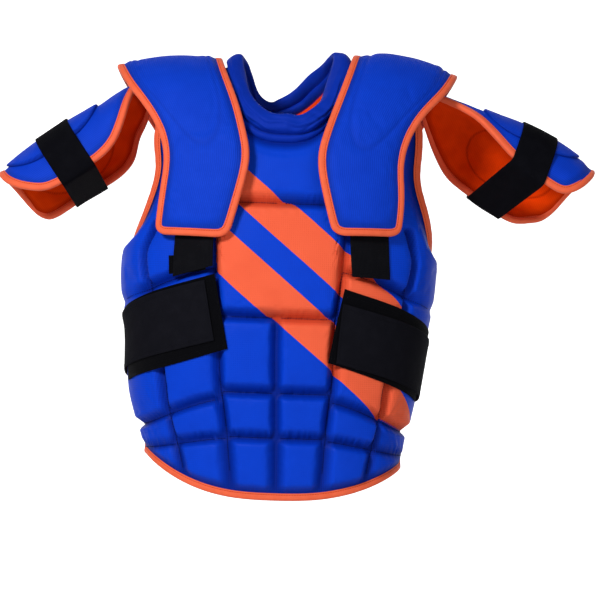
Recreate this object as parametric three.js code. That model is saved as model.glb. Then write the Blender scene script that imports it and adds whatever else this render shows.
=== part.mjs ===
// A padded chest and shoulder protector for a goalkeeper, in millimetres.
// +Z is up and the front faces -Y. Left and right are the wearer's own, so the left side is at +X.
// The origin is on the middle line, level with the shoulders that the protector sits on.
import * as THREE from 'three';

// Thicknesses of the padded pieces and of the tape, straps and linings sewn to them.
const GAP = 0.5;
const GROOVE_THICK = 5;
const GROOVE_HALF = 6;
const BEVEL = 8;
const EDGE_THICK = 4;
const EDGE_BAND = 10;
const BACK_THICK = 9;
const CAP_THICK = 8;
const CAP_DOME = 5;
const GUARD_THICK = 8;
const PLATE_THICK = 4;
const LINING_THICK = 1.5;
const TAPE = { wide: 9, thick: 1.6, nose: 2.2, gap: 0.8 };

// Widths and thicknesses of the webbing and elastic.
const SHOULDER_STRAP = { wide: 50, thick: 2, steps: 8 };
const SHOULDER_PATCH = { wide: 22, thick: 1.5, steps: 4 };
const WAIST_STRAP = { wide: 75, thick: 2, steps: 24 };
const WAIST_PATCH = { wide: 94, thick: 1.5, steps: 12 };
const STRAP_LINES = [-1, -0.33, 0.33, 1];
const ARM_STRAP = { wide: 48, thick: 2, past: 9, turns: 40, stepsOver: 16, stepsAcross: 4 };
const ARM_LINK = {
  wide: 36, thick: 2.5, steps: 8, sewnX: 132, sewnZ: 38.5, edgeX: 160, edgeZ: 35, meets: -6, ends: 22,
};

// The torso that the panels wrap: half width, front depth and back depth of its level sections.
const SECTION_POWER = 2.4;
const SHOULDER_TOP = 38;
const SHOULDER_DROP = 14;
const DROP_STARTS = -80;
const BODY = [
  { z: -500, wide: 150, front: 104, back: 98 },
  { z: -425, wide: 152, front: 108, back: 100 },
  { z: -370, wide: 164, front: 111, back: 102 },
  { z: -300, wide: 176, front: 113, back: 105 },
  { z: -250, wide: 184, front: 113, back: 107 },
  { z: -205, wide: 186, front: 111, back: 108 },
  { z: -150, wide: 180, front: 107, back: 107 },
  { z: -100, wide: 174, front: 99, back: 103 },
  { z: -60, wide: 169, front: 89, back: 94 },
  { z: -30, wide: 165, front: 76, back: 80 },
  { z: 0, wide: 160, front: 57, back: 60 },
  { z: 20, wide: 157, front: 36, back: 37 },
  { z: 32, wide: 156, front: 16, back: 16 },
  { z: 38, wide: 155, front: 6, back: 6 },
];

// Upright lines of the front panel: the two sewn grooves beside the middle one, and the side edge.
const FRONT_LINES = [
  { z: -500, first: 50, second: 104, edge: 84 },
  { z: -455, first: 55, second: 113, edge: 90 },
  { z: -405, first: 61, second: 125, edge: 95 },
  { z: -360, first: 67, second: 132, edge: 97 },
  { z: -280, first: 71, second: 147, edge: 98 },
  { z: -240, first: 75, second: 155, edge: 98 },
  { z: -205, first: 78, second: 160, edge: 94 },
  { z: -180, first: 79, second: 152, edge: 80 },
  { z: -150, first: 79, second: 140, edge: 70 },
  { z: -110, first: 79, second: 128, edge: 66 },
  { z: -60, first: 80, second: 126, edge: 68 },
  { z: 0, first: 86, second: 122, edge: 72 },
  { z: 38, first: 90, second: 122, edge: 74 },
];
// Level grooves of the front panel: their height at the middle, outside the first groove and at the side.
const FRONT_GROOVES = {
  hemRow: { middle: -426, inner: -428, side: -447 },
  bellyRow: { middle: -371, inner: -380, side: -408 },
  chestRow: { middle: -279, inner: -221, side: -264 },
  topRow: { middle: -139, inner: -139, side: -139 },
};
const GROOVE_CURVE = 1.4;
const CENTRE_GROOVE_TOP = -278;
const SECOND_GROOVE_TOP = -190;
const TILE_THICK = [
  { z: -500, thick: 13 },
  { z: -420, thick: 15 },
  { z: -280, thick: 17 },
  { z: -140, thick: 15 },
  { z: -60, thick: 11 },
  { z: 0, thick: 8 },
  { z: 38, thick: 6 },
];
const HEM = { low: -501, rise: 46, reach: 156, power: 2.6 };
// How the plain stretches between the grooves are divided.
const FRONT_STEPS = { inside: [0.5, 0.78], chest: [0.2, 0.4, 0.6, 0.8], top: [0.3, 0.6, 0.82, 0.93] };

// The back panel: half angle of its sides at each height, and where it ends.
const BACK_HEM = -405;
const BACK_STEPS = { up: [0.15, 0.32, 0.5, 0.66, 0.79, 0.88, 0.95, 1], across: [0, 0.15, 0.3, 0.45, 0.7] };
const BACK_EDGE = [
  { z: -405, edge: 54 },
  { z: -250, edge: 60 },
  { z: -150, edge: 56 },
  { z: -60, edge: 60 },
  { z: 38, edge: 74 },
];

// The neck opening is a rounded U in front and a shallower one behind.
const NECK = { half: 70, frontLow: -64, backLow: -40, power: 2.6 };

// The collar's top edge round the neck opening, with the soft dips that it takes.
const COLLAR_HALF = 5.5;
const COLLAR_BULGE = 4;
const COLLAR_FOOT = 2.5;
const COLLAR_GAP = 4.5;
const COLLAR_STEPS = 36;
const COLLAR_RISE = { bulge: 0.45, lip: 0.85 };
const COLLAR_RIM = [
  { around: 0, x: 5, y: -95, z: -27 },
  { around: 28, x: 27, y: -91, z: -22 },
  { around: 48, x: 43, y: -74, z: -4 },
  { around: 68, x: 53, y: -45, z: 30 },
  { around: 90, x: 59, y: -8, z: 60 },
  { around: 115, x: 53, y: 28, z: 54 },
  { around: 135, x: 43, y: 50, z: 42 },
  { around: 155, x: 24, y: 62, z: 22 },
  { around: 175, x: 4, y: 66, z: 7 },
  { around: 195, x: -17, y: 66, z: -2 },
  { around: 215, x: -34, y: 58, z: 10 },
  { around: 235, x: -48, y: 44, z: 36 },
  { around: 252, x: -53, y: 24, z: 50 },
  { around: 270, x: -59, y: -8, z: 55 },
  { around: 292, x: -54, y: -44, z: 22 },
  { around: 312, x: -46, y: -72, z: -8 },
  { around: 332, x: -26, y: -90, z: -25 },
  { around: 360, x: 5, y: -95, z: -27 },
];

// A shoulder cap from its front end over the shoulder to its back end: neck edge, outer edge and crown.
const CAP = [
  { at: 0, neckX: 67, neckY: -130, neckZ: -181, outX: 150, outY: -106, outZ: -179, crown: 6 },
  { at: 1, neckX: 52, neckY: -131, neckZ: -130, outX: 151, outY: -107, outZ: -130, crown: 6 },
  { at: 2, neckX: 42, neckY: -125, neckZ: -85, outX: 148, outY: -102, outZ: -88, crown: 6 },
  { at: 3, neckX: 49, neckY: -110, neckZ: -50, outX: 157, outY: -92, outZ: -53, crown: 7 },
  { at: 4, neckX: 61, neckY: -86, neckZ: -12, outX: 178, outY: -76, outZ: -20, crown: 9 },
  { at: 5, neckX: 73, neckY: -57, neckZ: 24, outX: 201, outY: -52, outZ: 8, crown: 10 },
  { at: 6, neckX: 82, neckY: -8, neckZ: 52, outX: 217, outY: -4, outZ: 33, crown: 9 },
  { at: 7, neckX: 82, neckY: 46, neckZ: 41, outX: 207, outY: 42, outZ: 16, crown: 9 },
  { at: 8, neckX: 73, neckY: 88, neckZ: 4, outX: 182, outY: 80, outZ: -20, crown: 7 },
  { at: 9, neckX: 67, neckY: 117, neckZ: -55, outX: 152, outY: 102, outZ: -65, crown: 5 },
];
const CAP_ROWS = [0, 0.2, 0.6, 1.1, 1.8, 2.5, 3.2, 4, 4.8, 5.5, 6.2, 7, 8, 8.8, 9];
const CAP_COLUMNS = [-0.5, 0, 0.5];
const CAP_CORNER = { from: 0.7, lift: 0.16 };
const DOME = { from: 2.6, full: 3.6, ends: 7.6, edge: 0.75 };

// The upper-arm shells: where the top line starts, how steeply it falls, and the angles either side of it
// that the shell reaches, towards the front and round the back, at each place along the arm.
const ARMS = [
  {
    name: 'left', sign: 1, startX: 202, startZ: 12, fall: 19, radius: 63,
    strap: { top: 131, under: 98 },
    rows: [
      { at: -20, front: 12, back: 48 },
      { at: 0, front: 22, back: 74 },
      { at: 20, front: 27, back: 96 },
      { at: 45, front: 39, back: 118 },
      { at: 75, front: 61, back: 131 },
      { at: 105, front: 79, back: 142 },
      { at: 140, front: 90, back: 152 },
      { at: 165, front: 92, back: 148 },
      { at: 183, front: 90, back: 112 },
      { at: 197, front: 82, back: 66 },
      { at: 207, front: 62, back: 24 },
    ],
  },
  {
    name: 'right', sign: -1, startX: 207, startZ: 3, fall: 36, radius: 60,
    strap: { top: 104, under: 113 },
    rows: [
      { at: -20, front: 20, back: 66 },
      { at: 0, front: 44, back: 95 },
      { at: 20, front: 65, back: 113 },
      { at: 42, front: 81, back: 126 },
      { at: 65, front: 88, back: 132 },
      { at: 95, front: 89, back: 132 },
      { at: 125, front: 89, back: 129 },
      { at: 150, front: 88, back: 127 },
      { at: 166, front: 82, back: 116 },
      { at: 178, front: 68, back: 88 },
      { at: 189, front: 40, back: 44 },
    ],
  },
];
const ARM_COLUMNS = [-0.62, -0.36, -0.12, 0.12, 0.36, 0.62];
const PLATE = {
  from: 36, to: 184, front: 54, back: 62, gap: 2.9, short: 0.06,
  columns: 7, rows: 7, ends: 0.97, power: 3, rim: 0.4,
};
const LINING_INSET = 12;
const LINING_GAP = 1.8;

// Straps on the front, as lines over its surface: the way round from the middle and the height.
const SHOULDER_STRAPS = {
  left: [{ round: 113, z: -138 }, { round: 114, z: -180 }, { round: 119, z: -227 }],
  right: [{ round: 110, z: -138 }, { round: 110, z: -182 }, { round: 109, z: -228 }],
};
const SHOULDER_PATCHES = {
  right: [{ round: 137, z: -219 }, { round: 113, z: -217 }, { round: 91, z: -213 }],
};
const WAIST_PATCHES = {
  left: [{ round: 77, z: -286 }, { round: 150, z: -308 }, { round: 226, z: -332 }],
  right: [{ round: 73, z: -273 }, { round: 150, z: -297 }, { round: 226, z: -318 }],
};
const WAIST_STRAPS = {
  left: [
    { round: 82, z: -295 }, { round: 160, z: -314 }, { round: 235, z: -335 },
    { round: 310, z: -346 }, { round: 400, z: -348 },
  ],
  right: [
    { round: 85, z: -272 }, { round: 160, z: -292 }, { round: 235, z: -313 },
    { round: 310, z: -330 }, { round: 400, z: -334 },
  ],
};
const WAIST_SWAY = { leaves: 250, lands: 350 };

// Colours and finishes.
const FINISH = {
  blue: { color: '#1a44d2', roughness: 0.75, metalness: 0 },
  orange: { color: '#fb6e42', roughness: 0.8, metalness: 0 },
  lining: { color: '#cf420c', roughness: 0.85, metalness: 0 },
  webbing: { color: '#0d0e12', roughness: 0.85, metalness: 0 },
  elastic: { color: '#1b1b21', roughness: 0.85, metalness: 0 },
};

const protector = new THREE.Group();
const radians = THREE.MathUtils.degToRad;
const smooth = (from, to, at) => THREE.MathUtils.smoothstep(at, from, to);
const mix = THREE.MathUtils.lerp;

// A column of a table read smoothly at a place along it, and held past its ends.
function read(rows, place, column, at) {
  const last = rows.length - 1;
  if (at <= rows[0][place]) return rows[0][column];
  if (at >= rows[last][place]) return rows[last][column];
  const i = rows.findIndex((row) => row[place] > at) - 1;
  const slope = (k) => {
    const before = rows[Math.max(k - 1, 0)];
    const after = rows[Math.min(k + 1, last)];
    return (after[column] - before[column]) / (after[place] - before[place]);
  };
  const span = rows[i + 1][place] - rows[i][place];
  const t = (at - rows[i][place]) / span;
  const leaving = slope(i) * span * t * (1 - t) ** 2;
  const arriving = slope(i + 1) * span * t ** 2 * (t - 1);
  return mix(rows[i][column], rows[i + 1][column], t * t * (3 - 2 * t)) + leaving + arriving;
}

// A named mesh from points and faces: four-cornered faces are split across their shorter way, and all face out.
function addPiece(name, finish, points, faces) {
  const across = (a, b) => points[a].distanceTo(points[b]);
  const corners = faces.flatMap(([a, b, c, d]) => {
    if (d === undefined) return [[a, b, c]];
    return across(a, c) <= across(b, d) ? [[a, b, c], [a, c, d]] : [[b, c, d], [b, d, a]];
  });
  const volume = corners.reduce((sum, [a, b, c]) => (
    sum + points[a].dot(new THREE.Vector3().crossVectors(points[b], points[c]))
  ), 0);
  const index = corners.flatMap((corner) => (volume < 0 ? corner.reverse() : corner));
  const geometry = new THREE.BufferGeometry().setFromPoints(points);
  geometry.setIndex(index);
  geometry.computeVertexNormals();
  const mesh = new THREE.Mesh(geometry, new THREE.MeshStandardMaterial(FINISH[finish]));
  mesh.name = name;
  protector.add(mesh);
}

// A closed wall between two grids of points that share their rows and columns.
function addWall(name, finish, { outer, inner }) {
  const rows = outer.length;
  const columns = outer[0].length;
  const points = [...outer.flat(), ...inner.flat()];
  const top = (r, c) => r * columns + c;
  const under = (r, c) => rows * columns + top(r, c);
  const faces = [];
  for (let r = 0; r + 1 < rows; r += 1) {
    for (let c = 0; c + 1 < columns; c += 1) {
      faces.push([top(r, c), top(r, c + 1), top(r + 1, c + 1), top(r + 1, c)]);
      faces.push([under(r, c), under(r + 1, c), under(r + 1, c + 1), under(r, c + 1)]);
    }
    faces.push([top(r, 0), top(r + 1, 0), under(r + 1, 0), under(r, 0)]);
    const end = columns - 1;
    faces.push([top(r + 1, end), top(r, end), under(r, end), under(r + 1, end)]);
  }
  for (let c = 0; c + 1 < columns; c += 1) {
    faces.push([top(0, c + 1), top(0, c), under(0, c), under(0, c + 1)]);
    faces.push([top(rows - 1, c), top(rows - 1, c + 1), under(rows - 1, c + 1), under(rows - 1, c)]);
  }
  addPiece(name, finish, points, faces);
}

// A band through sections of equal points: a closed ring, or open with the given faces as lids.
function addBand(name, finish, sections, lids) {
  const size = sections[0].length;
  const faces = [];
  const steps = lids ? sections.length - 1 : sections.length;
  for (let i = 0; i < steps; i += 1) {
    const here = i * size;
    const next = ((i + 1) % sections.length) * size;
    for (let k = 0; k < size; k += 1) {
      const beside = (k + 1) % size;
      faces.push([here + k, here + beside, next + beside, next + k]);
    }
  }
  const end = (sections.length - 1) * size;
  for (const lid of lids ?? []) {
    faces.push([...lid].reverse());
    faces.push(lid.map((k) => end + k));
  }
  addPiece(name, finish, sections.flat(), faces);
}

// Binding tape folded over the rim of a wall, all round it or open along its top row.
function addTape(name, { outer, inner }, allRound) {
  const rows = outer.length;
  const columns = outer[0].length;
  const rim = [];
  for (let r = rows - 1; r > 0; r -= 1) rim.push([r, 0]);
  for (let c = 0; c < columns; c += 1) rim.push([0, c]);
  for (let r = 1; r < rows; r += 1) rim.push([r, columns - 1]);
  for (let c = columns - 2; allRound && c > 0; c -= 1) rim.push([rows - 1, c]);
  const share = TAPE.wide / EDGE_BAND;
  const nose = -(TAPE.gap + TAPE.nose) / EDGE_BAND;
  const seat = -TAPE.gap / EDGE_BAND;
  const sections = rim.map(([r, c]) => {
    const nextRow = THREE.MathUtils.clamp(r, 1, allRound ? rows - 2 : rows - 1);
    const nextColumn = THREE.MathUtils.clamp(c, 1, columns - 2);
    const at = (along, side, out) => {
      const top = outer[r][c].clone().lerp(outer[nextRow][nextColumn], along);
      const under = inner[r][c].clone().lerp(inner[nextRow][nextColumn], along);
      const half = top.distanceTo(under) / 2;
      const normal = top.clone().sub(under).normalize();
      const middle = top.add(under).multiplyScalar(0.5);
      return middle.addScaledVector(normal, side * (half * out.share + out.extra));
    };
    const face = { share: 1, extra: TAPE.gap };
    const fold = { share: 1, extra: TAPE.thick };
    return [
      at(share, 1, face), at(nose, 1, fold), at(nose, -1, fold),
      at(share, -1, face), at(seat, -1, face), at(seat, 1, face),
    ];
  });
  addBand(name, 'orange', sections, allRound ? null : [[0, 1, 5], [1, 2, 4, 5], [2, 3, 4]]);
}

// A point of the torso, by the angle round from the front and the height.
function skin(angle, z) {
  const bend = (value) => Math.sign(value) * Math.abs(value) ** (2 / SECTION_POWER);
  const across = bend(Math.sin(angle));
  const ahead = bend(Math.cos(angle));
  const deep = read(BODY, 'z', ahead > 0 ? 'front' : 'back', z);
  const drop = SHOULDER_DROP * across ** 2 * smooth(DROP_STARTS, SHOULDER_TOP, z);
  return new THREE.Vector3(read(BODY, 'z', 'wide', z) * across, -deep * ahead, z - drop);
}

// A point that stands off the torso by some distance.
function offBody(angle, z, off) {
  const step = 0.01;
  const around = skin(angle + step, z).sub(skin(angle - step, z));
  const up = skin(angle, z + 1).sub(skin(angle, z - 1));
  return skin(angle, z).addScaledVector(around.cross(up).normalize(), off);
}

// The angle at which the torso is so far to the side, and the angle that spans a length there.
function angleAcross(x, z) {
  return Math.asin(Math.min(1, x / read(BODY, 'z', 'wide', z)) ** (SECTION_POWER / 2));
}
function angleOver(length, angle, z) {
  const step = 0.02;
  return length * step * 2 / skin(angle + step, z).distanceTo(skin(angle - step, z));
}

// The angle reached by going so far round the outside of the tiles from the middle of the front.
function angleRound(length, z) {
  const step = radians(1);
  const off = read(TILE_THICK, 'z', 'thick', z);
  let angle = 0;
  let left = length;
  let here = offBody(0, z, off);
  while (true) {
    const next = offBody(angle + step, z, off);
    const part = next.distanceTo(here);
    if (part >= left) return angle + step * left / part;
    left -= part;
    angle += step;
    here = next;
  }
}

// The height of the neck opening's edge above a place across it.
function neckEdge(x, low) {
  const share = Math.min(1, x / NECK.half) ** NECK.power;
  return SHOULDER_TOP - (SHOULDER_TOP - low) * (1 - share) ** (1 / NECK.power);
}

// The padded front: tiles that stand up between grooves, thin along the edges that the tape covers.
function frontColumns(z) {
  const first = read(FRONT_LINES, 'z', 'first', z);
  const second = read(FRONT_LINES, 'z', 'second', z);
  const edge = radians(read(FRONT_LINES, 'z', 'edge', z));
  const band = angleOver(EDGE_BAND, edge, z);
  const bevel = band + angleOver(BEVEL, edge, z);
  const across = (x, groove = '') => ({ angle: angleAcross(x, z), groove, x });
  const fromEdge = (less, thin) => ({ angle: edge - less, thin, x: read(BODY, 'z', 'wide', z) });
  return [
    across(0, 'centre'), across(GROOVE_HALF), ...FRONT_STEPS.inside.map((share) => across(first * share)),
    across(first - GROOVE_HALF), across(first, 'first'), across(first + GROOVE_HALF),
    across(mix(first, second, 0.5)), across(second - GROOVE_HALF), across(second, 'second'),
    across(second + GROOVE_HALF), fromEdge(bevel, false), fromEdge(band, true), fromEdge(0, true),
  ];
}
function grooveHeight(name, x, column, z) {
  const { middle, inner, side } = FRONT_GROOVES[name];
  const first = read(FRONT_LINES, 'z', 'first', z);
  if (column.groove === 'first') return mix(middle, inner, 0.5);
  if (x < first) return middle;
  const share = (x - first) / (read(BODY, 'z', 'wide', z) - first);
  return mix(inner, side, Math.min(1, share) ** GROOVE_CURVE);
}
function hemHeight(x) {
  return HEM.low + HEM.rise * Math.min(1, x / HEM.reach) ** HEM.power;
}
function frontRows() {
  const hem = (above, thin) => ({ thin, height: (x) => hemHeight(x) + above });
  const groove = (name, step) => ({
    groove: step ? '' : name,
    height: (x, column, z) => grooveHeight(name, x, column, z) + step,
  });
  const three = (name) => [groove(name, -GROOVE_HALF), groove(name, 0), groove(name, GROOVE_HALF)];
  const between = (below, above, share) => ({
    height: (...place) => mix(below.height(...place), above.height(...place), share),
  });
  const top = { neck: true, height: (x) => neckEdge(x, NECK.frontLow) };
  const hemRow = three('hemRow');
  const bellyRow = three('bellyRow');
  const chestRow = three('chestRow');
  const topRow = three('topRow');
  return [
    hem(0, true), hem(EDGE_BAND, true), hem(EDGE_BAND + BEVEL), ...hemRow, ...bellyRow,
    between(bellyRow[2], chestRow[0], 0.5), ...chestRow,
    ...FRONT_STEPS.chest.map((share) => between(chestRow[2], topRow[0], share)), ...topRow,
    ...FRONT_STEPS.top.map((share) => between(topRow[2], top, share)), top,
  ];
}
function tileDepth(row, column, x, z) {
  if (row.thin || row.neck || column.thin) return EDGE_THICK;
  const grooveTops = {
    centre: CENTRE_GROOVE_TOP, first: FRONT_GROOVES.topRow.middle, second: SECOND_GROOVE_TOP,
  };
  const upright = column.groove && z <= grooveTops[column.groove];
  const level = row.groove && (row.groove !== 'topRow' || x < read(FRONT_LINES, 'z', 'first', z));
  return upright || level ? GROOVE_THICK : read(TILE_THICK, 'z', 'thick', z);
}
function frontPanel() {
  const count = frontColumns(0).length;
  const outer = [];
  const inner = [];
  for (const row of frontRows()) {
    const half = [];
    for (let c = 0; c < count; c += 1) {
      let z = FRONT_GROOVES.chestRow.middle;
      let column;
      for (let pass = 0; pass < 6; pass += 1) {
        column = frontColumns(z)[c];
        z = row.height(column.x, column, z);
      }
      const { angle, x } = column;
      half.push({ top: offBody(angle, z, tileDepth(row, column, x, z)), under: offBody(angle, z, 0) });
    }
    const mirrored = half.slice(1).reverse().map(({ top, under }) => ({
      top: top.clone().setX(-top.x), under: under.clone().setX(-under.x),
    }));
    outer.push([...mirrored, ...half].map((point) => point.top));
    inner.push([...mirrored, ...half].map((point) => point.under));
  }
  return { outer, inner };
}

// The padded back, thin along its edges, and the lining inside it.
function backPanel(from, to, inset) {
  const heights = [BACK_HEM, BACK_HEM + EDGE_BAND, BACK_HEM + EDGE_BAND + BEVEL];
  const steps = BACK_STEPS.across;
  const outer = [];
  const inner = [];
  const rows = [
    ...heights.map((z, i) => ({ thin: i < 2, height: () => z })),
    ...BACK_STEPS.up.map((share) => ({
      thin: share === 1, height: (x) => mix(heights[2], neckEdge(x, NECK.backLow), share),
    })),
  ];
  const kept = inset ? rows.slice(2) : rows;
  for (const row of kept) {
    const half = [];
    for (let c = 0; c < steps.length + 3; c += 1) {
      let z = row.height(0);
      let angle = 0;
      for (let pass = 0; pass < 4; pass += 1) {
        const edge = radians(read(BACK_EDGE, 'z', 'edge', z));
        const band = angleOver(EDGE_BAND, edge, z);
        const bevel = band + angleOver(BEVEL, edge, z);
        const places = [...steps.map((step) => step * (edge - bevel)), edge - bevel, edge - band, edge];
        angle = places[c];
        z = row.height(Math.abs(skin(Math.PI - angle, z).x));
      }
      const thin = row.thin || c >= steps.length + 1;
      const reach = thin && !inset ? { from: 0, to: EDGE_THICK } : { from, to };
      half.push([offBody(Math.PI - angle, z, reach.to), offBody(Math.PI - angle, z, reach.from)]);
    }
    const wanted = inset ? half.slice(0, -2) : half;
    const flipped = (side) => wanted.slice(1).reverse().map((pair) => pair[side].clone().setX(-pair[side].x));
    outer.push([...flipped(0), ...wanted.map((pair) => pair[0])]);
    inner.push([...flipped(1), ...wanted.map((pair) => pair[1])]);
  }
  return { outer, inner };
}

// The collar: a soft roll that stands on the neck edge, with its own height all the way round.
function collarSections() {
  const { bulge, lip } = COLLAR_RISE;
  const sections = [];
  for (let i = 0; i < COLLAR_STEPS; i += 1) {
    const around = 360 * i / COLLAR_STEPS;
    const turn = radians(around);
    const bend = (value) => Math.sign(value) * Math.abs(value) ** (2 / NECK.power);
    const inFront = Math.cos(turn) > 0;
    const low = inFront ? NECK.frontLow : NECK.backLow;
    const x = NECK.half * bend(Math.sin(turn));
    const z = SHOULDER_TOP - (SHOULDER_TOP - low) * Math.abs(bend(Math.cos(turn)));
    const side = angleAcross(Math.abs(x), z);
    const foot = offBody((inFront ? side : Math.PI - side) * Math.sign(x || 1), z, EDGE_THICK / 2);
    const out = new THREE.Vector3(foot.x, foot.y, 0).normalize();
    const share = Math.abs(Math.sin(turn)) ** 2;
    foot.addScaledVector(out, -share * (COLLAR_HALF + COLLAR_GAP));
    foot.z += COLLAR_GAP + share * COLLAR_HALF;
    const rim = new THREE.Vector3(
      read(COLLAR_RIM, 'around', 'x', around),
      read(COLLAR_RIM, 'around', 'y', around),
      read(COLLAR_RIM, 'around', 'z', around),
    );
    const at = (rise, off) => foot.clone().lerp(rim, rise).addScaledVector(out, off);
    sections.push([
      at(0, COLLAR_FOOT), at(bulge, COLLAR_HALF + COLLAR_BULGE), at(lip, COLLAR_HALF), at(1, 0),
      at(lip, -COLLAR_HALF), at(bulge, -COLLAR_HALF), at(0, -COLLAR_FOOT),
    ]);
  }
  return sections;
}

// A shoulder cap: curved sections from the front end over the shoulder to the back end.
function capPoint(at, side) {
  const end = CAP_CORNER.lift * smooth(CAP_CORNER.from, 1, Math.abs(side));
  const last = CAP[CAP.length - 1].at;
  const place = mix(end, last - end, at / last);
  const edge = (which) => new THREE.Vector3(
    read(CAP, 'at', `${which}X`, place),
    read(CAP, 'at', `${which}Y`, place),
    read(CAP, 'at', `${which}Z`, place),
  );
  const neck = edge('neck');
  const out = edge('out');
  const step = 0.05;
  const ahead = new THREE.Vector3(
    read(CAP, 'at', 'neckX', place + step) - read(CAP, 'at', 'neckX', place - step),
    read(CAP, 'at', 'neckY', place + step) - read(CAP, 'at', 'neckY', place - step),
    read(CAP, 'at', 'neckZ', place + step) - read(CAP, 'at', 'neckZ', place - step),
  );
  const normal = out.clone().sub(neck).cross(ahead).normalize();
  const crown = read(CAP, 'at', 'crown', place) * (1 - side * side);
  return { middle: neck.lerp(out, (side + 1) / 2).addScaledVector(normal, crown), normal };
}
function capWidth(at) {
  return capPoint(at, -1).middle.distanceTo(capPoint(at, 1).middle);
}
function shoulderCap(sign) {
  const outer = [];
  const inner = [];
  CAP_ROWS.forEach((at, r) => {
    const band = 2 * EDGE_BAND / capWidth(at);
    const bevel = band + 2 * BEVEL / capWidth(at);
    const sides = [-1, band - 1, bevel - 1, ...CAP_COLUMNS, 1 - bevel, 1 - band, 1];
    const thinRow = r < 2 || r > CAP_ROWS.length - 3;
    const row = sides.map((side) => {
      const { middle, normal } = capPoint(at, side);
      const thin = thinRow || Math.abs(side) > 1 - band - 0.001;
      const along = smooth(DOME.from, DOME.full, at) * (1 - smooth(DOME.ends - 1, DOME.ends, at));
      const dome = Math.abs(side) < DOME.edge ? along * CAP_DOME : 0;
      const half = (thin ? EDGE_THICK : CAP_THICK) / 2;
      return {
        top: middle.clone().addScaledVector(normal, half + (thin ? 0 : dome)),
        under: middle.clone().addScaledVector(normal, -half),
      };
    });
    const turned = ({ x, y, z }) => new THREE.Vector3(x * sign, y, z);
    outer.push(row.map((point) => turned(point.top)));
    inner.push(row.map((point) => turned(point.under)));
  });
  return { outer, inner };
}

// A place on an arm: so far along its top line, so far round from the top towards the back.
function armPoint(arm, at, round, radius) {
  const fall = radians(arm.fall);
  const along = new THREE.Vector3(arm.sign * Math.cos(fall), 0, -Math.sin(fall));
  const top = new THREE.Vector3(arm.sign * Math.sin(fall), 0, Math.cos(fall));
  const middle = new THREE.Vector3(arm.sign * arm.startX, 0, arm.startZ).addScaledVector(top, -arm.radius);
  return middle.addScaledVector(along, at)
    .addScaledVector(top, radius * Math.cos(radians(round)))
    .add(new THREE.Vector3(0, radius * Math.sin(radians(round)), 0));
}

// The padded arm shell, or with an inset the lining inside it.
function armWall(arm, from, to, inset) {
  const outer = [];
  const inner = [];
  const middle = (from + to) / 2;
  const band = THREE.MathUtils.radToDeg(EDGE_BAND / arm.radius);
  const bevel = band + THREE.MathUtils.radToDeg(BEVEL / arm.radius);
  const first = arm.rows[0].at;
  const last = arm.rows[arm.rows.length - 1].at;
  const ends = inset
    ? [first + EDGE_BAND + inset, last - EDGE_BAND - inset]
    : [first, first + EDGE_BAND, last - EDGE_BAND, last];
  const between = arm.rows.map((row) => row.at).filter((at) => (
    at > first + EDGE_BAND + inset + BEVEL / 2 && at < last - EDGE_BAND - inset - BEVEL / 2
  ));
  const places = [...ends, ...between].sort((a, b) => a - b);
  places.forEach((at, r) => {
    const front = read(arm.rows, 'at', 'front', at);
    const back = read(arm.rows, 'at', 'back', at);
    const inside = ARM_COLUMNS.map((share) => mix(-front, back, (share + 1) / 2));
    const rounds = inset
      ? [bevel - front, ...inside, back - bevel]
      : [-front, band - front, bevel - front, ...inside, back - bevel, back - band, back];
    const thinRow = !inset && (r < 2 || r > places.length - 3);
    const reach = (round, c) => {
      const thin = thinRow || (!inset && (c < 2 || c > rounds.length - 3));
      return thin ? [middle + EDGE_THICK / 2, middle - EDGE_THICK / 2] : [to, from];
    };
    rounds.sort((a, b) => a - b);
    outer.push(rounds.map((round, c) => armPoint(arm, at, round, reach(round, c)[0])));
    inner.push(rounds.map((round, c) => armPoint(arm, at, round, reach(round, c)[1])));
  });
  return { outer, inner };
}

// The second padded layer over the arm shell, an oval on its outside.
function armPlate(arm) {
  const outer = [];
  const inner = [];
  const half = (PLATE.to - PLATE.from) / 2;
  const length = half * (arm.rows[arm.rows.length - 1].at / PLATE.to - PLATE.short);
  for (let r = 0; r < PLATE.rows; r += 1) {
    const along = mix(-PLATE.ends, PLATE.ends, r / (PLATE.rows - 1));
    const at = PLATE.from + length * (1 + along);
    const spread = Math.sqrt(1 - Math.abs(along) ** PLATE.power);
    const rounds = [];
    for (let c = 0; c < PLATE.columns; c += 1) {
      rounds.push(mix(-PLATE.front, PLATE.back, c / (PLATE.columns - 1)) * spread);
    }
    const rim = (c) => r === 0 || r === PLATE.rows - 1 || c === 0 || c === PLATE.columns - 1;
    const low = arm.radius + PLATE.gap;
    const rise = (c) => PLATE_THICK * (rim(c) ? PLATE.rim : 1);
    outer.push(rounds.map((round, c) => armPoint(arm, at, round, low + rise(c))));
    inner.push(rounds.map((round) => armPoint(arm, at, round, low)));
  }
  return { outer, inner };
}

// The elastic loop: over the outside of the arm, then straight across the open side.
function armStrapSections(arm) {
  const { top, under } = arm.strap;
  const low = arm.radius + PLATE.gap + PLATE_THICK + GAP * 2;
  const front = -read(arm.rows, 'at', 'front', top) - ARM_STRAP.past;
  const back = read(arm.rows, 'at', 'back', under) + ARM_STRAP.past;
  const shift = (round) => mix(top, under, round > 0 ? smooth(ARM_STRAP.turns, back, round) : 0);
  const path = [];
  for (let i = 0; i <= ARM_STRAP.stepsOver; i += 1) {
    const round = mix(back, front, i / ARM_STRAP.stepsOver);
    path.push((side, off) => armPoint(arm, shift(round) + side, round, low + off));
  }
  for (let i = 1; i < ARM_STRAP.stepsAcross; i += 1) {
    const share = i / ARM_STRAP.stepsAcross;
    path.push((side, off) => armPoint(arm, top + side, front, low + off)
      .lerp(armPoint(arm, under + side, back, low + off), share));
  }
  const half = ARM_STRAP.wide / 2;
  return path.map((at) => [at(-half, 0), at(half, 0), at(half, ARM_STRAP.thick), at(-half, ARM_STRAP.thick)]);
}

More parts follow.
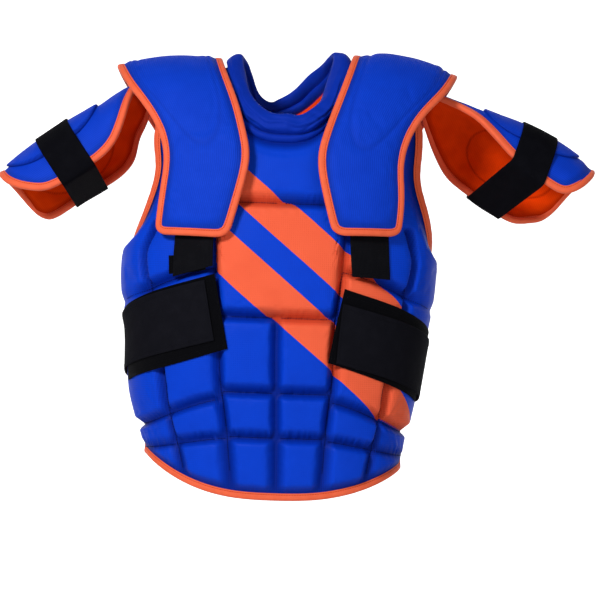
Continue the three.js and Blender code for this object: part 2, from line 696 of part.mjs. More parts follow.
// The hidden tab from the shoulder to the top of the arm shell.
function armLinkSections(arm) {
  const middle = GAP * 2 + ARM_LINK.thick / 2;
  const onArm = (at) => armPoint(arm, at, 0, arm.radius + middle);
  const curve = new THREE.CatmullRomCurve3([
    new THREE.Vector3(arm.sign * ARM_LINK.sewnX, 0, ARM_LINK.sewnZ),
    new THREE.Vector3(arm.sign * ARM_LINK.edgeX, 0, ARM_LINK.edgeZ),
    onArm(ARM_LINK.meets),
    onArm(ARM_LINK.ends),
  ]);
  const sections = [];
  for (let i = 0; i <= ARM_LINK.steps; i += 1) {
    const place = curve.getPoint(i / ARM_LINK.steps);
    const ahead = curve.getTangent(i / ARM_LINK.steps);
    const up = new THREE.Vector3(-ahead.z, 0, ahead.x).multiplyScalar(ARM_LINK.thick / 2);
    const across = new THREE.Vector3(0, ARM_LINK.wide / 2, 0);
    const corner = (a, b) => place.clone().addScaledVector(up, a).addScaledVector(across, b);
    sections.push([corner(-1, -1), corner(-1, 1), corner(1, 1), corner(1, -1)]);
  }
  return sections;
}

// A strap or patch laid along a line over the tiles, standing off them by a given distance.
function addStrap(name, finish, sign, rows, { wide, thick, steps }, offAt) {
  const curve = new THREE.CatmullRomCurve3(rows.map((row) => new THREE.Vector3(row.round, row.z, 0)));
  const sections = [];
  for (let i = 0; i <= steps; i += 1) {
    const place = curve.getPoint(i / steps);
    const ahead = curve.getTangent(i / steps);
    const corner = (side, lift) => {
      const round = place.x - ahead.y * side * wide / 2;
      const z = place.y + ahead.x * side * wide / 2;
      const point = offBody(angleRound(round, z), z, offAt(round, z) + lift);
      return point.setX(point.x * sign);
    };
    const above = STRAP_LINES.map((side) => corner(side, thick));
    const below = STRAP_LINES.map((side) => corner(-side, 0));
    sections.push([...above, ...below]);
  }
  addBand(name, finish, sections, [[0, 1, 6, 7], [1, 2, 5, 6], [2, 3, 4, 5]]);
}

const front = frontPanel();
addWall('front_panel', 'blue', front);
addTape('front_binding', front, false);

const back = backPanel(0, BACK_THICK, false);
addWall('back_panel', 'blue', back);
addTape('back_binding', back, false);
addWall('back_lining', 'lining', backPanel(-GAP - LINING_THICK, -GAP, true));

addBand('collar', 'blue', collarSections(), null);

const tileTop = (round, z) => read(TILE_THICK, 'z', 'thick', z) + GAP;
const onPatch = (round, z) => tileTop(round, z) + WAIST_PATCH.thick + GAP;
const toBack = (round, z) => (
  mix(onPatch(round, z), BACK_THICK + GAP * 2, smooth(WAIST_SWAY.leaves, WAIST_SWAY.lands, round))
);
for (const arm of ARMS) {
  const { name, sign } = arm;
  const cap = shoulderCap(sign);
  addWall(`shoulder_cap_${name}`, 'blue', cap);
  addTape(`cap_binding_${name}`, cap, true);

  const patch = SHOULDER_PATCHES[name];
  const patchTop = patch ? SHOULDER_PATCH.thick + GAP : 0;
  const onTiles = (round, z) => tileTop(round, z) + patchTop;
  addStrap(`shoulder_strap_${name}`, 'webbing', sign, SHOULDER_STRAPS[name], SHOULDER_STRAP, onTiles);
  if (patch) addStrap(`shoulder_patch_${name}`, 'webbing', sign, patch, SHOULDER_PATCH, tileTop);
  addStrap(`waist_patch_${name}`, 'webbing', sign, WAIST_PATCHES[name], WAIST_PATCH, tileTop);
  addStrap(`waist_strap_${name}`, 'elastic', sign, WAIST_STRAPS[name], WAIST_STRAP, toBack);

  const shell = armWall(arm, arm.radius - GUARD_THICK, arm.radius, 0);
  const liningTop = arm.radius - GUARD_THICK - LINING_GAP;
  addWall(`arm_guard_${name}`, 'blue', shell);
  addTape(`arm_binding_${name}`, shell, true);
  addWall(`arm_lining_${name}`, 'lining', armWall(arm, liningTop - LINING_THICK, liningTop, LINING_INSET));
  addWall(`arm_plate_${name}`, 'blue', armPlate(arm));
  addBand(`arm_strap_${name}`, 'elastic', armStrapSections(arm), null);
  addBand(`arm_link_${name}`, 'webbing', armLinkSections(arm), [[0, 1, 2, 3]]);
}

export default protector;
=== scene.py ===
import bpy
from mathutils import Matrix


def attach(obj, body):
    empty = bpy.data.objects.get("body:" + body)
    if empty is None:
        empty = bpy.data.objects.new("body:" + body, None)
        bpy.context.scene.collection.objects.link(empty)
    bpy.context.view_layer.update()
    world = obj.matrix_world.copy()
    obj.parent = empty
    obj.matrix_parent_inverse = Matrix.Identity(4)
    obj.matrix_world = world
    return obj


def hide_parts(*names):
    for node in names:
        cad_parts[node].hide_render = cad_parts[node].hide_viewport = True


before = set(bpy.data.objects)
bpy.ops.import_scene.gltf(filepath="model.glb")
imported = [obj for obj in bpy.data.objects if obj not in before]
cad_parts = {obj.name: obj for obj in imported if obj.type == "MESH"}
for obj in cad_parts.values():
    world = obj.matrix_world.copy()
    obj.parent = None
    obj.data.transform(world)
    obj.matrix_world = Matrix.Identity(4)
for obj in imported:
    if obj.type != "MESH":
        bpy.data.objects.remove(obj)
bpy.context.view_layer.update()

import math

import bpy
import numpy as np

mm = 0.001  # sizes below are in millimetres, meshes are in metres
turn = 2 * np.pi
crispShade, softShade = 55, 80  # bends of fewer degrees are shaded smooth


# Reading tables and adding a little irregularity

def smooth(start, end, at):
    share = np.clip((at - start) / (end - start), 0, 1)
    return share * share * (3 - 2 * share)


def blend(a, b, share):
    return a + (b - a) * share


def bell(at, middle, wide):
    return np.exp(-((at - middle) / wide) ** 2)


def unit(vectors):
    return vectors / np.maximum(np.linalg.norm(vectors, axis=-1, keepdims=True), 1e-9)


def merge(*parts):
    # numbers or grids side by side, as the parts of points
    return np.stack(np.broadcast_arrays(*parts), axis=-1)


def bend(value, power):
    # the sine or cosine of a circle that is squared off by this power
    return np.sign(value) * np.abs(value) ** (2 / power)


def read(places, values, at):
    # a smooth curve through a row of values, held past its ends
    places, values = np.array(places, float), np.array(values, float)
    at = np.clip(at, places[0], places[-1])
    steps = np.arange(len(places))
    before, after = np.maximum(steps - 1, 0), np.minimum(steps + 1, len(places) - 1)
    slopes = (values[after] - values[before]) / (places[after] - places[before])
    i = np.clip(np.searchsorted(places, at, side="right") - 1, 0, len(places) - 2)
    span = places[i + 1] - places[i]
    t = (at - places[i]) / span
    leaving = slopes[i] * span * t * (1 - t) ** 2
    arriving = slopes[i + 1] * span * t ** 2 * (t - 1)
    return blend(values[i], values[i + 1], t * t * (3 - 2 * t)) + leaving + arriving


def row(plan, which, z):
    # a row of a plan at these heights
    return read(plan["z"], plan[which], z)


def wander(at, pitch, seed):
    # an uneven ripple of about this pitch, mostly between -1 and 1
    dice = np.random.default_rng(seed)
    speeds, starts = dice.uniform(0.55, 1.6, 5), dice.uniform(0, turn, 5)
    return sum(np.sin(at / pitch * turn * a + b) for a, b in zip(speeds, starts)) / 2.2


def crumple(a, b, pitch, seed):
    # the same over a surface
    dice = np.random.default_rng(seed)
    speeds, headings, starts = [dice.uniform(*ends, 7) for ends in ((0.6, 1.5), (0, turn), (0, turn))]
    total = 0
    for speed, heading, start in zip(speeds, headings, starts):
        along = a * np.cos(heading) + b * np.sin(heading)
        total = total + np.sin(along / pitch * turn * speed + start)
    return total / 2.6


def nearest(a, b):
    # the distance from two edges that meet in a round corner
    return (np.maximum(a, 1e-3) ** -2.0 + np.maximum(b, 1e-3) ** -2.0) ** -0.5


def arcLength(points, axis=0):
    # how far along a line of points each one is
    points = np.moveaxis(points, axis, 0)
    steps = np.linalg.norm(np.diff(points, axis=0), axis=-1)
    run = np.concatenate([np.zeros_like(steps[:1]), np.cumsum(steps, axis=0)])
    return np.moveaxis(run, 0, axis)


def evenOut(values, closed, times):
    # smooths a run of points or directions
    for step in range(times):
        pad = [(1, 1)] + [(0, 0)] * (values.ndim - 1)
        wide = np.pad(values, pad, mode="wrap" if closed else "edge")
        values = (wide[:-2] + 2 * values + wide[2:]) / 4
    return values


def evenGrid(plan, low, high, bottom=0, top=1):
    # even values across and up a grid
    return np.meshgrid(np.linspace(low, high, plan["columns"]), np.linspace(bottom, top, plan["rows"]))


# Making meshes

def clearSelection():
    if bpy.context.object and bpy.context.object.mode != "OBJECT":
        bpy.ops.object.mode_set(mode="OBJECT")
    bpy.ops.object.select_all(action="DESELECT")


def pickOnly(piece):
    clearSelection()
    piece.select_set(True)
    bpy.context.view_layer.objects.active = piece


def getSpots(piece):
    spots = np.empty(len(piece.data.vertices) * 3, np.float32)
    piece.data.vertices.foreach_get("co", spots)
    return spots.reshape(-1, 3)


def setSpots(piece, spots):
    spots = np.ascontiguousarray(spots * mm, dtype=np.float32)
    piece.data.vertices.foreach_set("co", spots.ravel())
    piece.data.update()


def inOrder(order, values):
    # a grid of values as the mesh numbers its points
    return values.reshape(len(order), -1)[np.argsort(order)]


def addGrid(name, spots, marks={}):
    # a flat grid laid where spots says, with its marks as attributes
    rows, columns = spots.shape[:2]
    clearSelection()
    bpy.ops.mesh.primitive_grid_add(x_subdivisions=columns - 1, y_subdivisions=rows - 1, size=2)
    piece = bpy.context.object
    piece.name = piece.data.name = name
    flat = np.round(getSpots(piece), 5)
    order = np.lexsort((flat[:, 0], flat[:, 1]))
    setSpots(piece, inOrder(order, spots))
    for label, values in marks.items():
        kind, field = ("FLOAT_VECTOR", "vector") if values.ndim == 3 else ("FLOAT", "value")
        attribute = piece.data.attributes.new(label, kind, "POINT")
        attribute.data.foreach_set(field, inOrder(order, values).astype(np.float32).ravel())
    return piece, order


def faceOut(piece, weld=False, lids=False):
    pickOnly(piece)
    bpy.ops.object.mode_set(mode="EDIT")
    bpy.ops.mesh.select_all(action="SELECT")
    if weld:
        bpy.ops.mesh.remove_doubles(threshold=1e-6)
    if lids:
        bpy.ops.mesh.select_all(action="DESELECT")
        bpy.ops.mesh.select_non_manifold()
        bpy.ops.mesh.fill_holes(sides=0)
        bpy.ops.mesh.select_all(action="SELECT")
    bpy.ops.mesh.normals_make_consistent(inside=False)
    bpy.ops.object.mode_set(mode="OBJECT")


def finishPiece(piece, slot, cloths, node=None, fill=None, angle=crispShade):
    for cloth in cloths:
        piece.data.materials.append(shades[cloth])
    pickOnly(piece)
    bpy.ops.object.shade_smooth_by_angle(angle=math.radians(angle))
    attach(piece, "root")
    if node:
        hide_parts(node)
    return piece


def addWall(name, node, slot, cloths, outer, inner, marks, fill=None, angle=softShade):
    # a closed wall between two skins, with a cloth on each
    piece, order = addGrid(name, outer, marks)
    pickOnly(piece)
    wall = piece.modifiers.new("wall", "SOLIDIFY")
    wall.thickness = mm
    bpy.ops.object.modifier_apply(modifier="wall")
    setSpots(piece, np.concatenate([inOrder(order, outer), inOrder(order, inner)]))
    within = [int(min(face.vertices) >= len(order)) for face in piece.data.polygons]
    piece.data.polygons.foreach_set("material_index", within)
    faceOut(piece)
    return finishPiece(piece, slot, cloths, node, fill, angle)


def addTube(name, node, slot, cloth, rings, marks, closed=False, fill=None, angle=crispShade):
    # a skin through rings of points, closed into a loop or with flat ends
    lap = lambda values: np.concatenate([values, values[:1]]) if closed else values
    wrap = lambda values: np.concatenate([values, values[:, :1]], axis=1)
    marks = {label: wrap(lap(values)) for label, values in marks.items()}
    piece, order = addGrid(name, wrap(lap(rings)), marks)
    faceOut(piece, weld=True, lids=not closed)
    return finishPiece(piece, slot, [cloth], node, fill, angle)


def flatSize(wide, long):
    return (wide * mm, float(long) * mm)


# Padded cloth: held where it is sewn, and pressed out by its filling

padding = {
    "frames": 20, "quality": 4, "pressure": 4.0, "grow": 0.006,
    "out": 0.7, "sideways": 1.0, "leastHold": 0.03,
}


def swell(piece):
    cloth = piece.modifiers.new("cloth", "CLOTH")
    cloth.point_cache.frame_end = padding["frames"]
    cloth.collision_settings.use_collision = False
    settings = cloth.settings
    settings.quality = padding["quality"]
    settings.use_pressure = True
    settings.uniform_pressure_force = padding["pressure"]
    settings.shrink_min = -padding["grow"]
    settings.vertex_group_mass = "sewn"
    settings.effector_weights.gravity = 0
    for step in range(1, padding["frames"] + 1):
        bpy.context.scene.frame_set(step)
    pickOnly(piece)
    bpy.ops.object.modifier_apply(modifier="cloth")


def puff(name, spots, sewn):
    piece, order = addGrid(name, spots)
    held = inOrder(order, np.clip(sewn, 0, 1)).ravel()
    group = piece.vertex_groups.new(name="sewn")
    for index in np.flatnonzero(held > padding["leastHold"]):
        group.add([int(index)], float(held[index]), "REPLACE")
    swell(piece)
    result = getSpots(piece)[order].reshape(spots.shape) / mm
    bpy.data.objects.remove(piece, do_unlink=True)
    bpy.context.scene.frame_set(1)
    moved = np.nan_to_num(result - spots)
    normals = unit(np.cross(np.gradient(spots, axis=1), np.gradient(spots, axis=0)))
    rise = np.sum(moved * normals, axis=-1, keepdims=True)
    slide = moved - rise * normals
    far = np.linalg.norm(slide, axis=-1, keepdims=True)
    slide = slide * np.minimum(1, padding["sideways"] / np.maximum(far, 1e-6))
    print(f"{name}: cloth rose {rise.min():.2f} to {rise.max():.2f} mm")
    return spots + normals * np.clip(rise, -padding["out"], padding["out"]) + slide


# Finishes

class Wire:
    # a socket whose sums add Math nodes
    def __init__(self, finish, socket):
        self.finish, self.socket = finish, socket

    def reckon(self, operation, *others, **settings):
        values = dict(enumerate((self, *others)))
        return self.finish.node("ShaderNodeMath", {"operation": operation, **settings}, values)

    def __add__(self, other):
        return self.reckon("ADD", other)

    def __sub__(self, other):
        return self.reckon("SUBTRACT", other)

    def __rsub__(self, other):
        return self.finish.node("ShaderNodeMath", {"operation": "SUBTRACT"}, {0: other, 1: self})

    def __mul__(self, other):
        return self.reckon("MULTIPLY", other)

    def __gt__(self, other):
        return self.reckon("GREATER_THAN", other)

    def __lt__(self, other):
        return self.reckon("LESS_THAN", other)

    __radd__, __rmul__ = __add__, __mul__

    def wave(self, pitch):
        return (self * (turn / pitch)).reckon("SINE") * 0.5 + 0.5

    def limited(self):
        return self.reckon("ADD", 0.0, use_clamp=True)

    def past(self, start, strength):
        return (self - start).limited() * strength

    def short(self, strength):
        return (1 - self).limited() * strength


class Finish:
    # a material with its nodes written as sums
    def __init__(self, name, roughness, sheen=0.0, specular=0.2):
        self.material = bpy.data.materials.new(name)
        self.material.use_nodes = True
        self.tree = self.material.node_tree
        self.shader = self.tree.nodes["Principled BSDF"]
        self.set("Roughness", roughness)
        self.set("Sheen Weight", sheen)
        self.set("Sheen Roughness", 0.4)
        self.set("Specular IOR Level", specular)

    def set(self, socket, value):
        self.feed(self.shader.inputs[socket], value)

    def feed(self, socket, value):
        if isinstance(value, Wire):
            self.tree.links.new(value.socket, socket)
        else:
            socket.default_value = value

    def node(self, kind, settings, sockets, output=0):
        node = self.tree.nodes.new(kind)
        for label, value in settings.items():
            setattr(node, label, value)
        for label, value in sockets.items():
            self.feed(node.inputs[label], value)
        return Wire(self, node.outputs[output])

    def part(self, vector, axis):
        return self.node("ShaderNodeSeparateXYZ", {}, {"Vector": vector}, axis)

    def lay(self):
        # how far across and along the cloth a point is, and how high it stands in its seams; the finishes
        # paint shade where it is low
        spot = self.mark("lay", "Vector")
        return [self.part(spot, axis) for axis in "XYZ"]

    def mark(self, label, output="Fac"):
        return self.node("ShaderNodeAttribute", {"attribute_name": label}, {}, output)

    def place(self):
        return self.node("ShaderNodeTexCoord", {}, {}, "Object")

    def noise(self, pitch, detail=2.0):
        sockets = {"Vector": self.place(), "Scale": 1 / (pitch * mm), "Detail": detail}
        return self.node("ShaderNodeTexNoise", {}, sockets, "Fac")

    def mix(self, first, second, share):
        return self.node("ShaderNodeMix", {"data_type": "RGBA"}, {0: share, 6: first, 7: second}, 2)

    def done(self, base, height=None, deep=0):
        self.set("Base Color", base)
        if height:
            sockets = {"Height": height, "Distance": deep * mm, "Strength": 1.0}
            self.set("Normal", self.node("ShaderNodeBump", {}, sockets))
        return self.material


def tint(*parts):
    # a colour as seen on screen, made linear
    linear = [((part / 255 + 0.055) / 1.055) ** 2.4 if part > 10 else part / 255 / 12.92 for part in parts]
    return (*linear, 1.0)


def changed(colour, times, plus=0.0):
    return (*[part * times + plus for part in colour[:3]], 1.0)


# the groove and knit seam shade colours below are painted shade for grooves, creases and low edges
colours = {name: tint(*parts) for name, parts in {
    "blue": (6, 67, 214), "deepBlue": (2, 38, 160), "grooveShadeBlue": (2, 22, 112), "knitSeamShade": (4, 16, 80),
    "orange": (254, 106, 70), "deepOrange": (214, 60, 30), "grooveShadeOrange": (176, 44, 18),
    "tape": (253, 110, 70), "deepTape": (222, 70, 34), "lining": (246, 70, 3), "deepLining": (164, 26, 0),
    "collar": (3, 52, 184), "deepCollar": (2, 30, 126), "navy": (3, 10, 58), "black": (11, 11, 15),
    "elastic": (15, 15, 21), "armElastic": (8, 8, 13), "blackThread": (18, 18, 24),
    "pile": (5, 5, 8), "palePile": (20, 20, 26), "floor": (250, 250, 250), "dimFloor": (246, 246, 247),
}.items()}
stripes = {
    "bands": [(-288, -226), (-185.5, -127)], "slope": 0.82, "seamJog": 9, "chestJog": -4,
    "clear": 400,  # takes plain panels out of every band
}


def nylonFinish(name, striped):
    # smooth woven nylon over foam, with printed stripes and painted shade in its grooves
    finish = Finish(name, 0.5, specular=0.07)
    across, along, relief = finish.lay()
    patchy = finish.noise(28, 3)
    worn = patchy.past(0.35, 0.35)
    dimple = across.wave(2.6) * along.wave(2.6)
    # painted shade: darker towards the groove colours where the cloth sinks into its grooves and towards
    # its taped edges; the dimples are the weave
    shadeAndDimple = relief.short(0.75) + dimple * 0.22

    # the dyed tone with its random patches, then the painted groove shade
    def dyedAndShaded(first, second, groove):
        return finish.mix(finish.mix(colours[first], colours[second], worn), colours[groove], shadeAndDimple)

    base = dyedAndShaded("blue", "deepBlue", "grooveShadeBlue")
    if striped:
        band = finish.mark("band")
        lower, upper = [(band > low) * (band < high) for low, high in stripes["bands"]]
        base = finish.mix(base, dyedAndShaded("orange", "deepOrange", "grooveShadeOrange"), lower + upper)
    finish.set("Roughness", 0.42 + patchy * 0.16)
    return finish.done(base, dimple * 0.7 + finish.noise(1.6) * 0.4, 0.22)


def knitFinish(name, first, second, pitch, deep, faced=False):
    # stretch fabric with fine ribs along the piece, which may be faced with lining, with painted shade
    # where it sinks
    finish = Finish(name, 0.62, specular=0.1)
    across, along, relief = finish.lay()
    rib = across.wave(pitch)
    patchy = finish.noise(22, 3)
    ground = finish.mix(colours[first], colours[second], patchy.past(0.3, 0.4))
    ground = finish.mix(ground, colours[second], (1 - rib) * 0.35)
    # painted shade: darker where the knit sinks towards its taped edges and into its creases
    ground = finish.mix(ground, colours["knitSeamShade"], relief.short(0.6))
    if faced:
        ground = finish.mix(ground, colours["lining"], finish.mark("band"))
    finish.set("Roughness", 0.55 + patchy * 0.18)
    return finish.done(ground, rib * 0.75 + along.wave(pitch * 0.6) * 0.1 + finish.noise(1.1) * 0.25, deep)


def tapeFinish(name):
    # folded stretch tape, ribbed across, with painted shade in the dip along its seam
    finish = Finish(name, 0.6, sheen=0.05)
    along, relief = finish.lay()[1:]
    ground = finish.mix(colours["tape"], colours["deepTape"], finish.noise(9, 3).past(0.3, 0.55))
    # painted shade in the seam's dip
    ground = finish.mix(ground, colours["deepTape"], relief.short(0.8))
    return finish.done(ground, along.wave(1.1) * 0.5 + finish.noise(2.4) * 0.7, 0.16)


def liningFinish(name):
    # brushed mesh lining
    finish = Finish(name, 0.9, specular=0.04)
    across, along, relief = finish.lay()
    holes = across.wave(2.2) * along.wave(2.2)
    ground = finish.mix(colours["lining"], colours["deepLining"], finish.noise(18, 3).past(0.3, 0.5))
    # painted shade: darker towards its edges and along its quilting line; the holes are the mesh
    ground = finish.mix(ground, colours["deepLining"], holes * 0.3 + relief.short(0.6))
    return finish.done(ground, holes * 0.6 + finish.noise(0.9) * 0.5, 0.2)


def webbingFinish(name, colour, ribPitch, crossPitch, deep, rough):
    # woven straps: ribs along their length, crossed by the weft
    finish = Finish(name, rough, specular=0.03)
    across, along = finish.lay()[:2]
    weave = across.wave(ribPitch) * 0.7 + along.wave(crossPitch) * 0.3
    dusty = weave * 0.45 + finish.noise(14, 4).past(0.45, 0.7)
    ground = finish.mix(colours[colour], changed(colours[colour], 2.0, 0.003), dusty)
    return finish.done(ground, weave + finish.noise(0.7) * 0.35, deep)


def pileFinish(name):
    # fuzzy loop tape
    finish = Finish(name, 0.95, sheen=0.04, specular=0.06)
    fuzz = finish.noise(0.8, 3)
    ground = finish.mix(colours["pile"], colours["palePile"], fuzz.past(0.4, 0.9))
    return finish.done(ground, fuzz + finish.noise(3) * 0.4, 0.5)


def threadFinish(name, colour):
    finish = Finish(name, 0.7, specular=0.05)
    return finish.done(finish.mix(colours[colour], changed(colours[colour], 0.6), finish.noise(0.5)))


shades = {
    "front": nylonFinish("blue nylon with stripes", True),
    "back": nylonFinish("blue nylon", False),
    "cap": knitFinish("blue ribbed knit", "blue", "deepBlue", 2.5, 0.3),
    "collar": knitFinish("dark blue stretch knit", "collar", "deepCollar", 1.3, 0.1, faced=True),
    "tape": tapeFinish("orange edge tape"),
    "lining": liningFinish("orange mesh lining"),
    "webbing": webbingFinish("black webbing", "black", 1.6, 2.0, 0.3, 0.75),
    "elastic": webbingFinish("black elastic", "elastic", 1.3, 0.9, 0.2, 0.8),
    "armElastic": webbingFinish("black arm elastic", "armElastic", 1.3, 0.9, 0.25, 0.9),
    "pile": pileFinish("black loop tape"),
    "navyThread": threadFinish("navy thread", "navy"),
    "orangeThread": threadFinish("orange thread", "deepTape"),
    "blackThread": threadFinish("black thread", "blackThread"),
}
print("finishes made")


# The hollow that the panels lie round: half width, front and back depth of its level sections

torso = {
    "power": 2.4, "top": 38, "drop": 14, "dropStarts": -80,
    "z": [-500, -425, -370, -300, -250, -205, -150, -100, -60, -30, 0, 20, 32, 38],
    "wide": [156, 158, 167, 177, 184, 186, 180, 174, 169, 165, 160, 157, 156, 155],
    "front": [104, 108, 111, 113, 113, 111, 107, 99, 89, 76, 57, 36, 16, 6],
    "back": [98, 100, 102, 105, 107, 108, 107, 103, 94, 80, 60, 37, 16, 6],
    # it hangs a little unevenly
    "leftMore": [-2, -6, -5, -4, -3, -1, 13, 9, 14, 15, 8, 3, 0, 0],
    "rightMore": [10, 6, 7, -3, 0, -1, -4, -8, 0, 0, 0, 0, 0, 0],
    "sway": [6, 4, 2, 0, 0, 0, 0, 0, 0, 0, 0, 0, 0, 0],
}
neckHole = {"half": 70, "front": -64, "back": -40, "power": 2.6}
edgeThick, edgeBand, bevel, gap = 4, 8, 8, 0.5
settling = {"rounds": 18, "share": 0.6}  # how a panel's grid finds its heights


def skin(angle, z):
    angle, z = np.broadcast_arrays(np.asarray(angle, float), np.asarray(z, float))
    across, ahead = bend(np.sin(angle), torso["power"]), bend(np.cos(angle), torso["power"])
    deep = np.where(ahead > 0, row(torso, "front", z), row(torso, "back", z))
    drop = torso["drop"] * across ** 2 * smooth(torso["dropStarts"], torso["top"], z)
    more = np.where(across > 0, row(torso, "leftMore", z), row(torso, "rightMore", z))
    wide = row(torso, "wide", z) + more * across ** 2
    return merge(wide * across + row(torso, "sway", z), -deep * ahead, z - drop)


def offBody(angle, z, off):
    around = skin(angle + 0.01, z) - skin(angle - 0.01, z)
    up = skin(angle, z + 1) - skin(angle, z - 1)
    return skin(angle, z) + unit(np.cross(around, up)) * np.asarray(off, float)[..., None]


def halfWidth(angle, z):
    return np.abs(skin(angle, z)[..., 0])


def angleAcross(x, z):
    return np.arcsin(np.minimum(1, x / row(torso, "wide", z)) ** (torso["power"] / 2))


def neckEdge(x, low):
    share = np.minimum(1, x / neckHole["half"]) ** neckHole["power"]
    return torso["top"] - (torso["top"] - low) * (1 - share) ** (1 / neckHole["power"])


def padRise(fromEdge, more=0):
    # 0 on the edge that the tape holds, 1 where the pad has its full thickness
    return smooth(edgeBand - 1, edgeBand + bevel + more, fromEdge)


# The padded front: foam tiles between sewn grooves

frontPanel = {
    "columns": 224, "rows": 214, "grooveThick": 3.6, "slack": 0.7, "evenAt": -280,
    "z": [-500, -455, -405, -360, -280, -240, -205, -180, -150, -110, -60, 0, 38],
    "first": [53, 57, 61, 67, 71, 75, 78, 79, 79, 79, 80, 86, 90],
    "second": [104, 113, 125, 132, 147, 155, 160, 152, 140, 128, 126, 122, 122],
    "edge": [84, 90, 95, 97, 98, 98, 94, 80, 70, 66, 68, 72, 74],
    "hem": {"low": -501, "riseLeft": 36, "riseRight": 46, "reach": 156, "power": 2.6},
    "curve": 1.4, "tops": {"centre": -278, "first": -139, "second": -165},
    # floor and wall of a groove, and the power that rounds the tiles' corners
    "upright": (0.7, 8.0), "above": (0.4, 12.0), "below": (0.9, 6.5), "hemWall": (0, 10), "corner": 1.7,
    "levels": {  # height in the middle, past the first groove and at the side, and how much it puckers
        "hemRow": (-426, -428, -449, 1.3), "bellyRow": (-371, -380, -420, 0.6),
        "chestRow": (-279, -221, -264, 0.5), "topRow": (-139, -139, -139, 0.35),
    },
    "flap": {"tile": 9.5, "sewn": 6.5},  # thinner cloth below the side tiles
    "apart": (-436, -420, 0.4),  # the lowest tiles stand further apart
    "armhole": (-220, -190),  # the pads thin out towards it
}
tiles = {"z": [-500, -420, -280, -140, -60, 0, 38], "thick": [13, 15, 17, 15, 11, 8, 6]}

# How far round from the middle of the front, over the tiles, each angle is
arcAngles = np.radians(np.linspace(0, 180, 361))
arcHeights = np.linspace(-510, 38, 111)
arcThick = row(tiles, "thick", arcHeights)[:, None]
arcRounds = arcLength(offBody(arcAngles[None, :], arcHeights[:, None], arcThick), 1)
arcSteps = np.linspace(0, 560, 281)
arcBack = np.stack([np.interp(arcSteps, rounds, arcAngles) for rounds in arcRounds])


def lookUp(table, columnStep, z, column):
    i = (np.asarray(z, float) - arcHeights[0]) / (arcHeights[1] - arcHeights[0])
    i = np.clip(i, 0, len(table) - 1.001)
    j = np.clip(np.abs(column) / columnStep, 0, table.shape[1] - 1.001)
    a, b = i.astype(int), j.astype(int)
    low = blend(table[a, b], table[a, b + 1], j - b)
    return blend(low, blend(table[a + 1, b], table[a + 1, b + 1], j - b), i - a)


def roundOf(angle, z):
    return lookUp(arcRounds, arcAngles[1], z, angle)


def angleOf(far, z):
    return lookUp(arcBack, arcSteps[1], z, far)


def grooveLine(which, z):
    # how far round an upright groove is
    return roundOf(angleAcross(row(frontPanel, which, z), z), z)


def grooveHeight(level, x, z):
    middle, inner, side = frontPanel["levels"][level][:3]
    first = row(frontPanel, "first", z)
    share = np.clip((x - first) / (row(torso, "wide", z) - first), 0, 1)
    return np.where(x < first, middle, blend(inner, side, share ** frontPanel["curve"]))


def hemHeight(angle, x):
    hem = frontPanel["hem"]
    rise = np.where(angle > 0, hem["riseLeft"], hem["riseRight"])
    return hem["low"] + rise * np.minimum(1, x / hem["reach"]) ** hem["power"]


def tileWall(distance, above, below):
    # 0 on a groove's floor, then a straight wall that rounds over onto the tile
    floor, wall = [np.where(distance > 0, high, low) for high, low in zip(above, below)]
    share = np.clip((np.abs(distance) - floor) / wall, 0, 1.15)
    return np.where(share < 0.85, share, 1 - (1.15 - share) ** 2 / 0.6)


def layFront():
    plan = frontPanel
    across, up = evenGrid(plan, -1, 1)
    even = roundOf(arcAngles, plan["evenAt"])
    widest = np.radians(max(plan["edge"]))
    share = np.interp(np.abs(across), even / np.interp(widest, arcAngles, even), arcAngles / widest)
    z = np.full(across.shape, float(plan["evenAt"]))
    for step in range(settling["rounds"]):
        angle = np.sign(across) * share * np.radians(row(plan, "edge", z))
        x = halfWidth(angle, z)
        level = blend(hemHeight(angle, x), neckEdge(x, neckHole["front"]), up)
        z = blend(z, level, settling["share"])
    return angle, x, z


def frontRelief(angle, x, z):
    # how high the tiles stand, with the seams that pull them down
    plan = frontPanel
    far, side = roundOf(angle, z), np.sign(angle)
    first, second = grooveLine("first", z), grooveLine("second", z)
    drops = pucker = np.zeros_like(z)
    low, high, wider = plan["apart"]
    spread = 1 + wider * (1 - smooth(low, high, z))
    for i, (distance, top) in enumerate(zip((far, far - first, far - second), plan["tops"].values())):
        fades = 1 - smooth(top - 3, top + 5, z)
        wall = tileWall(distance / spread, plan["upright"], plan["upright"])
        drops = drops + ((1 - wall) * fades) ** plan["corner"]
        tug = wander(z + 40 * side, 9, 20 + i) * bell(np.abs(distance), 5, 3)
        pucker = pucker + 0.25 * tug * fades
    runsOut = {  # where a level groove ends
        "topRow": 1 - smooth(-2, 4, far - first), "chestRow": 1 - 0.8 * smooth(4, 34, far - second),
    }
    for i, level in enumerate(plan["levels"]):
        strength = plan["levels"][level][3]
        distance = z - grooveHeight(level, x, z)
        fades = runsOut.get(level, 1.0)
        drops = drops + ((1 - tileWall(distance, plan["above"], plan["below"])) * fades) ** plan["corner"]
        tug = wander(far * side, 8, 30 + i) * bell(distance, 5.5, 4.5)
        tug = tug + 0.5 * wander(far * side, 6, 40 + i) * bell(distance, -4, 3)
        pucker = pucker + strength * tug * fades
    relief = np.clip(1 - drops ** (1 / plan["corner"]), 0, 1)
    return relief, pucker, far, side, first, second


